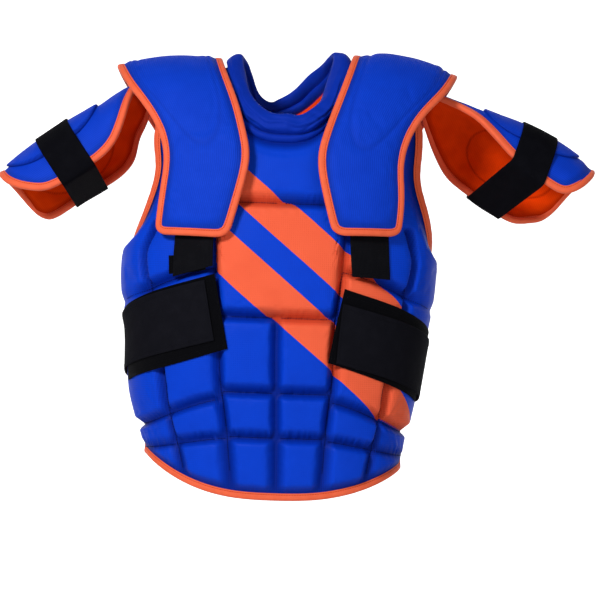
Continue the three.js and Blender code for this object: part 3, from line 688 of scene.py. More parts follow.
def frontDepth(angle, x, z):
    plan = frontPanel
    relief, pucker, far, side, first, second = frontRelief(angle, x, z)
    flap = smooth(-2, 8, far - second) * (1 - smooth(-14, 2, z - grooveHeight("bellyRow", x, z)))
    tile = blend(row(tiles, "thick", z) - plan["slack"], plan["flap"]["tile"], flap)
    sewn = blend(plan["grooveThick"], plan["flap"]["sewn"], flap)
    depth = blend(sewn, tile, relief) + pucker * (1 - 0.5 * flap)
    depth = depth + 0.3 * flap * crumple(far * side * 1.2 + z * 0.8, z * 0.35, 13, 51)
    fromSide = roundOf(np.radians(row(plan, "edge", z)), z) - far
    fromHem = z - hemHeight(angle, x) - edgeBand
    armhole = smooth(*plan["armhole"], z)
    rise = smooth(0, 1, (fromSide - edgeBand + 1 - 6 * armhole) / blend(6, 34, armhole))
    rise = rise * np.where(fromHem > 0, tileWall(fromHem, plan["hemWall"], plan["hemWall"]), 0)
    rise = rise * smooth(0, 14, neckEdge(x, neckHole["front"]) - z)
    depth = blend(edgeThick, depth, rise)
    sewnDown = np.maximum(1 - smooth(0.05, 0.45, relief), 1 - smooth(0.1, 0.8, rise))
    return depth, relief * rise, sewnDown, far * side, first


def stripeRule(far, z, x, first):
    # height up the stripes: they run down from the right, with small steps where they cross seams
    inside = 1 - smooth(-1, 1, np.abs(far) - first)
    band = z + stripes["slope"] * far
    band = band + stripes["seamJog"] * smooth(-1, 1, z - frontPanel["tops"]["first"]) * inside
    chest = frontPanel["levels"]["chestRow"][0]
    band = band + stripes["chestJog"] * (1 - smooth(-1, 1, z - chest)) * inside
    flap = smooth(-1, 1, far - grooveLine("second", z)) * smooth(-1, 1, grooveHeight("bellyRow", x, z) - z)
    plain = np.maximum(flap, smooth(-1, 1, -far - first))  # these panels are plain blue
    return band - stripes["clear"] * plain


angle, x, z = layFront()
depth, relief, sewnDown, far, first = frontDepth(angle, x, z)
frontInner = offBody(angle, z, 0)
frontOuter = puff("frontCloth", offBody(angle, z, depth), sewnDown)
# the lay mark's height, low in the grooves and at the taped edges, becomes painted shade in the finishes
marks = {"lay": merge(far, z, relief), "band": stripeRule(far, z, x, first)}
cloths = ["front", "lining"]
addWall("frontPanel", "front_panel", "blue_nylon", cloths, frontOuter, frontInner, marks, fill=0.75)
print("front panel done")


# Edge tape folded over the rim of a wall

tape = {
    # inward from the rim, share of the wall's half thickness, and how far off it
    "section": [
        (7.0, 1, 0.6), (6.6, 1, 1.05), (5.7, 1, 1.2), (5.1, 1, 0.7), (4.5, 1, 1.3), (3.0, 1, 1.6),
        (1.2, 1, 1.75), (-0.5, 1, 1.6), (-1.6, 0.85, 1.0), (-2.3, 0.5, 0.5), (-2.5, 0, 0),
        (-2.3, -0.5, -0.5), (-1.6, -0.85, -1.0), (-0.5, -1, -1.6), (1.2, -1, -1.7), (2.8, -1, -1.5),
        (3.9, -1, -1.2), (4.5, -1, -0.7), (5.0, -1, -1.1), (5.5, -1, -0.9), (5.8, -1, -0.5),
        (5.6, -1, -0.2), (2.5, -1, -0.2), (-0.6, -1, -0.2), (-0.6, 1, 0.2), (3.0, 1, 0.2), (6.8, 1, 0.2),
    ],
    "seams": {1: 5.1, -1: 4.5}, "cut": 21.0, "seamShadeLevel": 0.2, "uneven": 0.07,
}


def rimFrame(outer, inner, allRound):
    # the middle of the wall's rim, the way in from it, its face's direction and its half thickness
    rows, columns = outer.shape[:2]
    rim = [(r, 0) for r in range(rows - 1, 0, -1)] + [(0, c) for c in range(columns)]
    rim += [(r, columns - 1) for r in range(1, rows)]
    if allRound:
        rim += [(rows - 1, c) for c in range(columns - 2, 0, -1)]
    r, c = np.array(rim).T
    through = outer[r, c] - inner[r, c]
    middle = evenOut((outer[r, c] + inner[r, c]) / 2, allRound, 3)
    half = np.linalg.norm(through, axis=-1, keepdims=True) / 2
    normal = unit(evenOut(unit(through), allRound, 6))
    ahead = np.gradient(middle, axis=0)
    if allRound:
        ahead = np.roll(middle, -1, axis=0) - np.roll(middle, 1, axis=0)
    inward = unit(evenOut(unit(np.cross(normal, unit(ahead))), allRound, 4))
    across = columns // 2
    if np.dot(inward[rows - 1 + across], outer[2, across] - outer[0, across]) < 0:
        inward = -inward
    return middle, inward, normal, half


def foldTape(name, node, outer, inner, allRound, restsOn, seed, wider=lambda z: 0 * z):
    middle, inward, normal, half = rimFrame(outer, inner, allRound)
    along = arcLength(middle)
    pull = 1 + tape["uneven"] * wander(along, 16, seed)[:, None]
    reach = 1 + wider(middle[:, 2:])
    inset = lambda into, side: middle + inward * into * (reach if side > 0 and into > 0 else 1)
    lines, seamShades = [], []
    for into, side, off in tape["section"]:
        line = inset(into, side) + normal * (side * half + off * pull)
        lines.append(evenOut(line, allRound, int(max(0, into))))  # the inner edges cut the corners
        # the seam rows take painted shade
        seamShades.append(tape["seamShadeLevel"] if into == tape["seams"].get(side) else 1.0)
    rings = np.stack(lines, axis=1)
    lay = merge(arcLength(rings, 1), along[:, None], np.array(seamShades))
    piece = addTube(name, node, "orange_tape", "tape", rings, {"lay": lay}, closed=allRound)
    lift = normal * (half + stitch["off"])
    return [(inset(into, face) + face * lift, normal * face) for face, into in tape["seams"].items()]


# Stitches: one modelled and copied along every seam

stitch = {"long": 2.4, "wide": 0.8, "pitch": 3.4, "segments": 6, "rings": 4, "flat": 2.4, "off": 0.9}


def stitchShape():
    clearSelection()
    bpy.ops.mesh.primitive_uv_sphere_add(segments=stitch["segments"], ring_count=stitch["rings"], radius=1)
    one = bpy.context.object
    spots = np.array([vertex.co for vertex in one.data.vertices])
    faces = [list(face.vertices) for face in one.data.polygons]
    bpy.data.objects.remove(one, do_unlink=True)
    return spots, faces


stitchSpots, stitchFaces = stitchShape()


def sewRows(name, slot, thread, seams, pitch=stitch["pitch"], wide=stitch["wide"], long=stitch["long"]):
    # joins the stitches of many seams into one piece
    shape = stitchSpots * [long / 2, wide / 2, wide / stitch["flat"]]
    spots = []
    for points, normals in seams:
        run = arcLength(points)
        places = np.arange(pitch, run[-1] - pitch / 2, pitch)
        find = lambda values, at: merge(*[np.interp(at, run, values[:, k]) for k in range(3)])
        at, up = find(points, places), unit(find(normals, places))
        ahead = find(points, places + 0.5) - at
        ahead = unit(ahead - up * np.sum(ahead * up, axis=-1, keepdims=True))
        ways = (ahead, np.cross(up, ahead), up)
        turned = sum(shape[None, :, k, None] * way[:, None] for k, way in enumerate(ways))
        spots.extend(at[:, None] + turned)
    faces = []
    for start in range(0, len(spots) * len(stitchSpots), len(stitchSpots)):
        faces.extend([corner + start for corner in face] for face in stitchFaces)
    sewn = bpy.data.meshes.new(name)
    sewn.from_pydata((np.concatenate(spots) * mm).tolist(), [], faces)
    piece = bpy.data.objects.new(name, sewn)
    bpy.context.collection.objects.link(piece)
    return finishPiece(piece, slot, [thread])


frontSeam = {
    "starts": 3, "clear": 1, "ends": 225, "low": -470, "tops": {"first": -228, "second": -195},
    "innerPoints": 60, "outerPoints": 90, "uprightPoints": 160, "rounds": 6,
}


def frontSeams():
    # the lines along the groove bottoms of the front
    plan, lines = frontSeam, []
    for level, heights in frontPanel["levels"].items():
        edge = float(grooveLine("first", np.array(heights[0])))
        runs = [(np.linspace(plan["starts"], edge - plan["clear"], plan["innerPoints"]), -0.5)]
        if level != "topRow":
            runs.append((np.linspace(edge + plan["clear"], plan["ends"], plan["outerPoints"]), 0.5))
        for side in (-1, 1):
            for run, past in runs:
                z = np.full(run.shape, float(heights[0]))
                for step in range(plan["rounds"]):
                    angle = angleOf(run, z)
                    z = grooveHeight(level, halfWidth(angle, z) + past, z)
                lines.append((angle * side, z))
    for which, top in plan["tops"].items():
        z = np.linspace(plan["low"], top, plan["uprightPoints"])
        lines += [(side * angleOf(grooveLine(which, z), z), z) for side in (-1, 1)]
    seams = []
    for angle, z in lines:
        deep = frontDepth(angle, halfWidth(angle, z), z)[0]
        out = unit(offBody(angle, z, 1) - skin(angle, z))
        seams.append((offBody(angle, z, deep + stitch["off"]), out))
    return seams


sewRows("frontSeamStitches", "blue_nylon", "navyThread", frontSeams(), wide=0.9, long=2.7)
atArmholes = lambda z: 0.9 * smooth(-225, -195, z) * (1 - smooth(-30, 0, z))
tapeSeams = foldTape(
    "frontBinding", "front_binding", frontOuter, frontInner, False, "frontPanel", 61, wider=atArmholes)
print("front seams and binding done")


# The plain padded back, its lining and its tape

backPanel = {
    "columns": 110, "rows": 110, "thick": 9, "slack": 1.2, "hem": -405, "evenAt": -200,
    "liningOff": 0.4, "liningInside": 0.6, "liningThick": 1.2,
    "radius": 145, "insetRadius": 150,  # what turns its angles into millimetres
    "z": [-405, -250, -150, -60, 38], "edge": [54, 60, 56, 60, 74],
}


def layBack(inset):
    plan = backPanel
    across, up = evenGrid(plan, -1, 1)
    z = np.full(across.shape, float(plan["evenAt"]))
    for step in range(settling["rounds"]):
        edge = np.radians(row(plan, "edge", z)) - inset / plan["insetRadius"]
        angle = np.pi - across * edge
        x = halfWidth(angle, z)
        level = blend(plan["hem"] + inset, neckEdge(x, neckHole["back"]) - inset * 0.3, up)
        z = blend(z, level, settling["share"])
    fromSide = (1 - np.abs(across)) * edge * plan["radius"]
    fromEnds = np.minimum(z - plan["hem"], neckEdge(x, neckHole["back"]) - z + 4)
    return angle, z, across * edge * plan["radius"], np.minimum(fromSide, fromEnds)


angle, z, spread, fromEdge = layBack(0)
rise = padRise(fromEdge, 2)
thick = backPanel["thick"] - backPanel["slack"] + 0.35 * crumple(spread, z, 46, 71)
inner = offBody(angle, z, 0)
outer = puff("backCloth", offBody(angle, z, blend(edgeThick, thick, rise)), 1 - smooth(0.1, 0.8, rise))
# the lay mark's height, low towards the taped edges, becomes painted shade
marks = {"lay": merge(spread, z, rise)}
addWall("backPanel", "back_panel", "blue_nylon", ["back", "lining"], outer, inner, marks, fill=0.6)
tapeSeams += foldTape("backBinding", "back_binding", outer, inner, False, "backPanel", 62)

angle, z, spread, fromEdge = layBack(edgeBand - 2)
soft = 0.25 * crumple(spread, z, 38, 72)
outer = offBody(angle, z, -backPanel["liningOff"])
inner = offBody(angle, z, -backPanel["liningInside"] - backPanel["liningThick"] + soft)
marks = {"lay": merge(spread, z, 1.0)}
cloths = ["lining", "lining"]
piece = addWall("backLining", "back_lining", "orange_lining", cloths, outer, inner, marks, angle=crispShade)
print("back done")


# The collar: a soft roll on the neck edge

collar = {
    "steps": 220, "points": 72, "rim": 13, "creaseShadeAt": 4,
    "around": [0, 28, 48, 68, 90, 115, 135, 155, 175, 195, 215, 235, 252, 270, 292, 312, 332, 360],
    "x": [5, 28, 48, 58, 64, 50, 34, 14, -8, -20, -35, -48, -55, -62, -54, -40, -21, 5],
    "y": [-95, -91, -74, -45, -8, 28, 50, 62, 66, 66, 58, 44, 24, -8, -44, -72, -90, -95],
    "z": [-27, -24, -4, 30, 60, 54, 42, 22, 7, 2, 11, 36, 50, 55, 24, -6, -24, -27],
    # up the collar from its foot over the rim and down inside: share of its height, and how far out
    "section": [
        (-0.03, 1.8), (0.04, 4.2), (0.13, 5.2), (0.2, 4.4), (0.25, 2.4), (0.3, 5.4), (0.38, 8.6),
        (0.48, 10.2), (0.6, 10.2), (0.72, 9.2), (0.83, 7.2), (0.92, 4.8), (0.98, 2.0), (1.0, -0.4),
        (0.985, -2.8), (0.94, -5.2), (0.87, -6.8), (0.79, -6.8), (0.73, -5.2), (0.69, -2.6), (0.66, -4.6),
        (0.61, -6.6), (0.55, -6.8), (0.5, -5.2), (0.465, -2.6), (0.43, -3.6), (0.35, -4.4), (0.2, -4.0),
        (0.05, -3.2), (-0.03, -1.8), (-0.035, 0),
    ],
    "reaches": [(82, 34, 8.0), (278, 30, 3.0)],  # where it leans on the caps
    # creases of the front: from and to, as degrees and share of the height, then their width and height
    "creases": [
        (-84, 0.9, 26, 0.6, 0.07, 1.5), (-70, 0.66, -8, 0.4, 0.05, 1.1), (-16, 0.9, 40, 0.78, 0.06, 0.9),
        (14, 0.5, 70, 0.86, 0.06, 1.3), (34, 0.62, 88, 0.5, 0.06, 1.1),
    ],
    "tucks": [(33, 2.4, 1.8), (42, 3.0, 1.3), (-58, 3.4, 1.2)],  # creases that run up it
    "facing": (98, 172, 0.47),  # where its inside shows lining: from, to and up to
}


def collarEdges(around):
    # its foot on the neck edge, its rim and the way out
    way = np.radians(around)
    low = np.where(np.cos(way) > 0, neckHole["front"], neckHole["back"])
    x = neckHole["half"] * bend(np.sin(way), neckHole["power"])
    z = torso["top"] - (torso["top"] - low) * np.abs(bend(np.cos(way), neckHole["power"]))
    side = angleAcross(np.abs(x), z)
    angle = np.where(np.cos(way) > 0, side, np.pi - side) * np.where(x < 0, -1, 1)
    foot = offBody(angle, z, edgeThick / 2)
    out = unit(foot * [1, 1, 0])
    share = np.sin(way)[:, None] ** 2
    foot = foot - out * share * 3 + np.array([0, 0, 1]) * (1.5 + share)
    rim = merge(*[read(collar["around"], collar[axis], around) for axis in "xyz"])
    return evenOut(foot, True, 6), evenOut(rim, True, 2), out


def collarFolds(degrees, rise, off, outside):
    ahead = (degrees + 180) % 360 - 180
    off = off * (1 + (1 - outside) * 0.4 * wander(degrees, 70, 81))
    for middle, wide, far in collar["reaches"]:
        off = off + far * bell(degrees, middle, wide) * smooth(0.2, 0.6, rise) * outside
    for first, startsAt, last, endsAt, wide, high in collar["creases"]:
        level = blend(startsAt, endsAt, (ahead - first) / (last - first))
        level = level + 0.03 * wander(degrees, 40, int(90 + last))
        there = smooth(first - 10, first + 12, ahead) * (1 - smooth(last - 12, last + 10, ahead)) * outside
        fold = bell(rise, level, wide) - 1.1 * bell(rise, level - 1.6 * wide, wide * 0.8)
        off = off + high * there * fold
    for middle, wide, deep in collar["tucks"]:
        slant = ahead - middle + 14 * (rise - 0.7)
        off = off - deep * bell(slant, 0, wide) * smooth(0.4, 0.6, rise) * outside
    body = np.sin(np.pi * np.clip(rise, 0, 1)) ** 0.7
    return off + body * 0.6 * crumple(degrees * 1.1, rise * 30, 20, 82)


def collarRings():
    plan = collar
    around = np.linspace(0, 360, plan["steps"], endpoint=False)
    foot, rim, out = collarEdges(around)
    degrees = around[:, None]
    places = np.arange(len(plan["section"]))
    place = np.linspace(0, len(places) - 1, plan["points"])
    rise, off = [read(places, values, place)[None, :] for values in zip(*plan["section"])]
    outside = 1 - smooth(plan["rim"] - 0.5, plan["rim"] + 0.5, place)[None, :]
    off = collarFolds(degrees, rise, off, outside)
    height = (rim - foot)[:, None] * rise[..., None] + out[:, None] * off[..., None]
    height[..., 2] += 1.2 * wander(degrees, 45, 83) * rise
    rings = foot[:, None] + height
    begins, ends, under = plan["facing"]
    lined = smooth(begins - 2, begins + 2, degrees) * (1 - smooth(ends - 2, ends + 2, degrees))
    lined = lined * (1 - smooth(under - 0.01, under + 0.01, rise)) * (1 - outside)
    # painted shade along the crease above the foot
    creaseShade = 1 - 0.8 * bell(place, plan["creaseShadeAt"], 0.5)[None, :]
    return rings, {"lay": merge(arcLength(rings, 1), arcLength(rings, 0), creaseShade), "band": lined}


rings, marks = collarRings()
addTube(
    "neckCollar", "collar", "collar_knit", "collar", rings, marks, closed=True, fill=0.4, angle=softShade)
print("collar done")


# Shoulder caps

shoulderCap = {
    "columns": 60, "rows": 160, "thick": 8, "slack": 0.8, "corner": 13, "cornerPitch": 51,
    "crown": [6, 6, 6, 7, 9, 10, 9, 9, 7, 5],
    "domeAt": 5.3, "domeLong": 2.8, "domeSide": 0.02, "domeWide": 0.72, "creaseAt": 1.03, "creaseDeep": 1.0,
    "neckY": [-130, -131, -125, -110, -86, -57, -8, 46, 88, 117],
    "outY": [-106, -107, -102, -92, -76, -52, -4, 42, 80, 102],
}
capSides = {
    "Left": {
        "sign": 1, "dome": 2.0, "seed": 91,
        "neckX": [68, 54, 45, 52, 65, 78, 87, 86, 75, 67],
        "neckZ": [-179, -130, -85, -50, -12, 27, 57, 44, 4, -55],
        "outX": [145, 149, 146, 154, 173, 199, 217, 207, 182, 152],
        "outZ": [-177, -130, -88, -53, -20, 8, 37, 17, -20, -65],
    },
    "Right": {
        "sign": -1, "dome": -2.0, "seed": 92,
        "neckX": [66, 51, 42, 49, 61, 76, 85, 84, 73, 67],
        "neckZ": [-187, -130, -85, -50, -12, 23, 47, 38, 4, -55],
        "outX": [152, 147, 143, 152, 173, 197, 215, 207, 182, 152],
        "outZ": [-185, -130, -88, -53, -20, 8, 36, 17, -20, -65],
    },
}


def capSpot(cap, at, side):
    # a point of the cap by its place along the rows and across, and the way out of it
    lines = {**shoulderCap, **cap}
    places = np.arange(len(lines["crown"]))
    wide = np.abs(cap["outX"][0] - cap["neckX"][0]) / 2
    turned = np.clip((np.abs(side) - 1) * wide / lines["corner"] + 1, 0, 1)
    end = lines["corner"] / lines["cornerPitch"] * (1 - np.sqrt(1 - turned ** 2))
    place = blend(end, places[-1] - end, at / places[-1])
    exact = lambda which, where: merge(*[read(places, lines[which + axis], where) for axis in "XYZ"])

    def edge(which, where):
        before, after = exact(which, where - 0.4), exact(which, where + 0.4)
        return (before + 2 * exact(which, where) + after) / 4

    neck, over = edge("neck", place), edge("out", place) - edge("neck", place)
    normal = unit(np.cross(over, edge("neck", place + 0.05) - edge("neck", place - 0.05)))
    crown = read(places, lines["crown"], place)
    middle = neck + over * ((side + 1) / 2)[..., None] + normal * (crown * (1 - side * side))[..., None]
    lean = 4 * crown * side / np.linalg.norm(over, axis=-1)
    return middle, unit(normal + unit(over) * lean[..., None])


def layCap(cap):
    plan = shoulderCap
    fine = np.linspace(0, len(plan["crown"]) - 1, 300)
    run = arcLength(capSpot(cap, fine, np.zeros_like(fine))[0])
    even, along = evenGrid(plan, -1, 1, 0, run[-1])
    at = np.interp(along, run, fine)
    side = blend(even, np.sin(even * np.pi / 2), 0.7)  # closer at the rims
    middle, normal = capSpot(cap, at, side)
    along = np.interp(at, fine, run)
    rims = [capSpot(cap, at, np.full(at.shape, rim))[0] for rim in (1.0, -1.0)]
    half = np.linalg.norm(rims[0] - rims[1], axis=-1) / 2
    rise = padRise(nearest((1 - np.abs(side)) * half, np.minimum(along, run[-1] - along)))
    ring = np.hypot((at - plan["domeAt"]) / plan["domeLong"], (side - plan["domeSide"]) / plan["domeWide"])
    dome = cap["dome"] * (1 - smooth(0.84, 1.06, ring)) * rise
    crease = lambda wide: bell(ring, plan["creaseAt"], wide)
    wrinkle = 0.25 * crumple(side * half, along * 0.6, 44, cap["seed"]) * rise
    top = blend(edgeThick, plan["thick"] - plan["slack"], rise) / 2
    high = top + dome - plan["creaseDeep"] * crease(0.035) * rise + wrinkle
    inner = middle - normal * (blend(edgeThick, plan["thick"], rise) / 2)[..., None]
    sewn = np.maximum(1 - smooth(0.1, 0.8, rise), crease(0.05))
    outer = puff("capCloth", middle + normal * high[..., None], sewn)
    flip = np.array([cap["sign"], 1, 1])
    # the lay mark's height, low towards the taped edges and along the dome's crease, becomes painted shade
    lay = merge(side * half, along, 0.4 + 0.6 * rise * (1 - 0.35 * crease(0.04)))
    return outer * flip, inner * flip, lay


for label, cap in capSides.items():
    outer, inner, lay = layCap(cap)
    name, node = "shoulderCap" + label, "shoulder_cap_" + label.lower()
    addWall(name, node, "blue_knit", ["cap", "cap"], outer, inner, {"lay": lay}, fill=0.7)
    node = "cap_binding_" + label.lower()
    tapeSeams += foldTape("capBinding" + label, node, outer, inner, True, name, cap["seed"] + 4)
print("shoulder caps done")


# Arm guards with their linings, plates and elastic loops

armGuards = {
    "Left": {
        "sign": 1, "startX": 202, "startZ": 12, "fall": 19, "radius": 63, "seed": 101,
        "at": [-20, 0, 20, 45, 75, 105, 140, 166, 179, 190, 201, 207.5, 211.5, 213],
        "front": [12, 20, 24, 34, 55, 73, 83, 85, 83, 75, 59, 42, 24, 6],
        "back": [48, 74, 96, 118, 131, 143, 148, 128, 115, 94, 60, 38, 20, 6],
        "plate": (54, 190), "crown": 0, "droop": (100, 21), "quilt": (115, 65),
        "strapTop": 131, "strapUnder": 100,
    },
    "Right": {
        "sign": -1, "startX": 208.8, "startZ": 5.4, "fall": 36, "radius": 63, "seed": 111,
        "at": [-20, 0, 20, 42, 65, 95, 125, 150, 166, 178, 186, 190],
        "front": [20, 44, 65, 81, 88, 89, 88, 83, 71, 57, 38, 8],
        "back": [55, 72, 84, 103, 110, 110, 108, 108, 107, 101, 78, 20],
        "plate": (37, 178), "crown": 3.8, "droop": (170, 0), "quilt": (105, 50),
        "strapTop": 104, "strapUnder": 113,
    },
}
armGuard = {"columns": 84, "rows": 120, "thick": 8, "slack": 0.5}
armLining = {"inset": 7.5, "off": 0.3, "inside": 0.4, "thick": 1.2, "quiltLong": 61, "quiltRound": 47.5}
armPlate = {
    "columns": 56, "rows": 60, "front": 49, "back": 60, "ends": 0.985,
    "gap": 0.6, "thick": 2.4, "rim": 1.5, "bevel": 2.5, "bulge": 2.4,
}
armStrap = {"wide": 48, "thick": 2, "past": 5, "turns": 40, "over": 70, "across": 26, "steps": (48, 70)}


def armSpot(arm, at, degrees, radius):
    parts = (at, np.radians(degrees), radius)
    at, way, radius = np.broadcast_arrays(*[np.asarray(part, float) for part in parts])
    fall = math.radians(arm["fall"])
    along = np.array([arm["sign"] * math.cos(fall), 0, -math.sin(fall)])
    top = np.array([arm["sign"] * math.sin(fall), 0, math.cos(fall)])
    middle = np.array([arm["sign"] * arm["startX"], 0, arm["startZ"]]) - top * arm["radius"]
    starts, deep = arm["droop"]
    sag = deep * np.maximum(0, (at - starts) / (arm["at"][-1] - starts)) ** 2  # the end hangs
    level = at[..., None] * along + (radius * np.cos(way) - sag)[..., None] * top
    return middle + level + (radius * np.sin(way))[..., None] * np.array([0, 1, 0])


def layArm(arm, inset):
    # places along and round the shell, how far round in millimetres, and how full the pad is
    first, last = arm["at"][0] + inset, arm["at"][-1] - inset
    fine = np.linspace(first, last, 500)
    edges = [np.radians(read(arm["at"], arm[edge], fine)) * arm["radius"] for edge in ("front", "back")]
    run = sum(arcLength(merge(fine, edge)) for edge in edges)  # rows closer where the edges turn in
    share, even = evenGrid(armGuard, 0, 1, 0, run[-1])
    at = np.interp(even, run, fine)
    less = np.degrees(inset / arm["radius"])
    front, back = [np.maximum(read(arm["at"], arm[edge], at) - less, 1) for edge in ("front", "back")]
    degrees = blend(-front, back, share)
    fromSide = []
    for far, edge in ((degrees + front, front), (back - degrees, back)):
        slant = np.hypot(1, np.gradient(np.radians(edge[:, 0]) * arm["radius"], at[:, 0]))[:, None]
        fromSide.append(np.radians(far) * arm["radius"] / slant)
    fromEdge = nearest(np.minimum(*fromSide), np.minimum(at - first, last - at)) + inset
    return at, degrees, np.radians(degrees) * arm["radius"], padRise(fromEdge)


def layGuard(arm, seed):
    at, degrees, spread, rise = layArm(arm, 0)
    middle = arm["radius"] - armGuard["thick"] / 2
    half = blend(edgeThick, armGuard["thick"], rise) / 2
    soft = 0.22 * crumple(spread, at, 36, seed) * rise
    outer = armSpot(arm, at, degrees, middle + half - armGuard["slack"] * rise + soft)
    # the lay mark's height, low towards the taped edges, becomes painted shade
    return outer, armSpot(arm, at, degrees, middle - half), {"lay": merge(spread, at, 0.5 + 0.5 * rise)}


def layLining(arm, seed):
    plan = armLining
    at, degrees, spread, rise = layArm(arm, plan["inset"])
    low = arm["radius"] - armGuard["thick"] / 2 - blend(edgeThick, armGuard["thick"], rise) / 2
    quiltAt, quiltRound = arm["quilt"]
    ring = np.hypot((at - quiltAt) / plan["quiltLong"], (degrees - quiltRound) / plan["quiltRound"])
    pillow = rise * (0.5 * crumple(spread, at, 26, seed) + 1.0) * (1 - 0.9 * bell(ring, 1, 0.05))
    outer = armSpot(arm, at, degrees, low - plan["off"])
    inner = armSpot(arm, at, degrees, low - plan["inside"] - plan["thick"] - pillow)
    # the lay mark's height, low at the edges and along the quilting line, becomes painted shade
    return outer, inner, {"lay": merge(spread, at, rise * (1 - bell(ring, 1, 0.022)))}


def layPlate(arm, seed):
    plan = armPlate
    start, end = arm["plate"]
    length = (end - start) / 2
    share, lift = evenGrid(plan, 0, 1, -1, 1)
    along = np.sin(lift * np.pi / 2) * plan["ends"]  # rows closer together at the ends
    at = start + length * (1 + along)
    wide = np.sqrt(1 - np.abs(along) ** 3)
    degrees = blend(-plan["front"], plan["back"], share) * wide
    fromSide = np.minimum(degrees + plan["front"] * wide, plan["back"] * wide - degrees)
    fromEnd = length * (plan["ends"] - np.abs(along)) + 0.2
    fromEdge = np.minimum(np.radians(fromSide) * arm["radius"], fromEnd)
    rise = 1 - (1 - np.clip(fromEdge / plan["bevel"], 0, 1)) ** plan["bulge"]
    spread = np.radians(degrees) * arm["radius"]
    low = arm["radius"] + plan["gap"]
    thick = blend(plan["rim"], plan["thick"] + arm["crown"] * (1 - along ** 2), rise)
    outer = armSpot(arm, at, degrees, low + thick + 0.15 * crumple(spread, at, 36, seed) * rise)
    # the lay mark's height, low along the plate's rim, becomes painted shade
    lay = merge(spread, at, 0.3 + 0.7 * smooth(0, 3, fromEdge))
    return outer, armSpot(arm, at, degrees, low), {"lay": lay}


def ribbonSection(plan):
    # across a strap: its face, its rounded edges and its back
    across = np.array([-1, -0.985, -0.95, -0.85, -0.5, 0, 0.5, 0.85, 0.95, 0.985, 1]) * plan["wide"] / 2
    face = np.array([0.62, 0.86, 1.0, 0.96, 0.93, 0.93, 0.93, 0.96, 1.0, 0.86, 0.62])
    back = np.array([0.38, 0.14, 0.04, 0, 0, 0, 0, 0, 0.04, 0.14, 0.38])
    return np.concatenate([across, across[::-1]]), np.concatenate([face, back[::-1]]) * plan["thick"]


def ribbonMarks(rings, across):
    along = arcLength(rings.mean(axis=1))
    return {"lay": merge(across, along[:, None], 1.0)}, along[-1]


def layArmStrap(arm):
    plan = armStrap
    onPlate = armPlate["gap"] + armPlate["thick"] + arm["crown"] + gap
    low = lambda far: arm["radius"] + blend(onPlate, gap, smooth(*plan["steps"], np.abs(far)))
    across, off = ribbonSection(plan)
    edge = lambda which, middle: read(arm["at"], arm[which], middle + across) + plan["past"]
    behind, before = edge("back", arm["strapUnder"]), -edge("front", arm["strapTop"])
    rings = []
    for share in np.linspace(0, 1, plan["over"]):
        far = blend(behind, before, share)
        under = smooth(plan["turns"], behind.mean(), far.mean())
        shift = blend(arm["strapTop"], arm["strapUnder"], under)
        rings.append(armSpot(arm, shift + across, far, low(far) + off))
    last = rings[-1]
    rings += [blend(last, rings[0], share) for share in np.linspace(0, 1, plan["across"] + 2)[1:-1]]
    rings = evenOut(np.array(rings), True, 2)
    return rings, *ribbonMarks(rings, across)


for label, arm in armGuards.items():
    side, seed = "_" + label.lower(), arm["seed"]
    guard, lining, plate = "armGuard" + label, "armLining" + label, "armPlate" + label
    outer, inner, marks = layGuard(arm, seed)
    addWall(guard, "arm_guard" + side, "blue_knit", ["cap", "lining"], outer, inner, marks, fill=0.6)
    tapeSeams += foldTape("armBinding" + label, "arm_binding" + side, outer, inner, True, guard, seed + 1)

    walls = layLining(arm, seed + 2)
    piece = addWall(lining, "arm_lining" + side, "orange_lining", ["lining", "lining"], *walls)

    walls = layPlate(arm, seed + 3)
    addWall(plate, "arm_plate" + side, "blue_knit", ["cap", "cap"], *walls, fill=0.5, angle=crispShade)

    rings, marks, length = layArmStrap(arm)
    node = "arm_strap" + side
    piece = addTube("armStrap" + label, node, "black_elastic", "armElastic", rings, marks, closed=True)
    flatSize(armStrap["wide"], length)
print("arm guards done")


# Straps and patches laid over the tiles, as lines by the way round from the front and the height

straps = {
    "shoulderStrap": {
        "wide": 50, "thick": 2, "steps": 44, "sewnAt": (41, 36),
        "cloth": "webbing", "slot": "black_webbing",
        "Left": ([110, 111, 115], [-138, -180, -227]), "Right": ([106, 106, 105], [-138, -182, -226]),
        "slant": {"Left": 3, "Right": 6.5}, "corner": {},
    },
    "shoulderPatch": {
        "wide": 22, "thick": 1.5, "steps": 24, "sewnAt": (2, 21), "cloth": "pile", "slot": "black_loop",
        "Right": ([137, 113, 91], [-219, -217, -213]), "slant": {}, "corner": {},
    },
    "waistPatch": {
        "wide": 94, "thick": 1.5, "steps": 60, "sewnAt": (1, 58), "cloth": "pile", "slot": "black_loop",
        "Left": ([77, 150, 226], [-286, -308, -332]), "Right": ([73, 150, 226], [-273, -297, -318]),
        "slant": {}, "corner": {"Left": 9, "Right": 9},
    },
    "waistStrap": {
        "wide": 75, "thick": 2, "steps": 130, "sewnAt": (1,), "cloth": "elastic", "slot": "black_elastic",
        "Left": ([82, 160, 235, 310, 400], [-295, -314, -335, -346, -348]),
        "Right": ([85, 160, 235, 310, 400], [-272, -292, -313, -330, -334]),
        "slant": {}, "corner": {"Left": 11, "Right": 5},
    },
}
waistSway = {"leaves": 250, "lands": 350}


def standOff(kind, label, far, z):
    # how far a strap lies off the body
    tile = row(tiles, "thick", z) + gap
    if kind == "shoulderStrap" and label == "Right":
        return tile + straps["shoulderPatch"]["thick"] + gap
    if kind != "waistStrap":
        return tile
    patch = tile + straps["waistPatch"]["thick"] + gap
    return blend(patch, backPanel["thick"] + 2 * gap, smooth(waistSway["leaves"], waistSway["lands"], far))


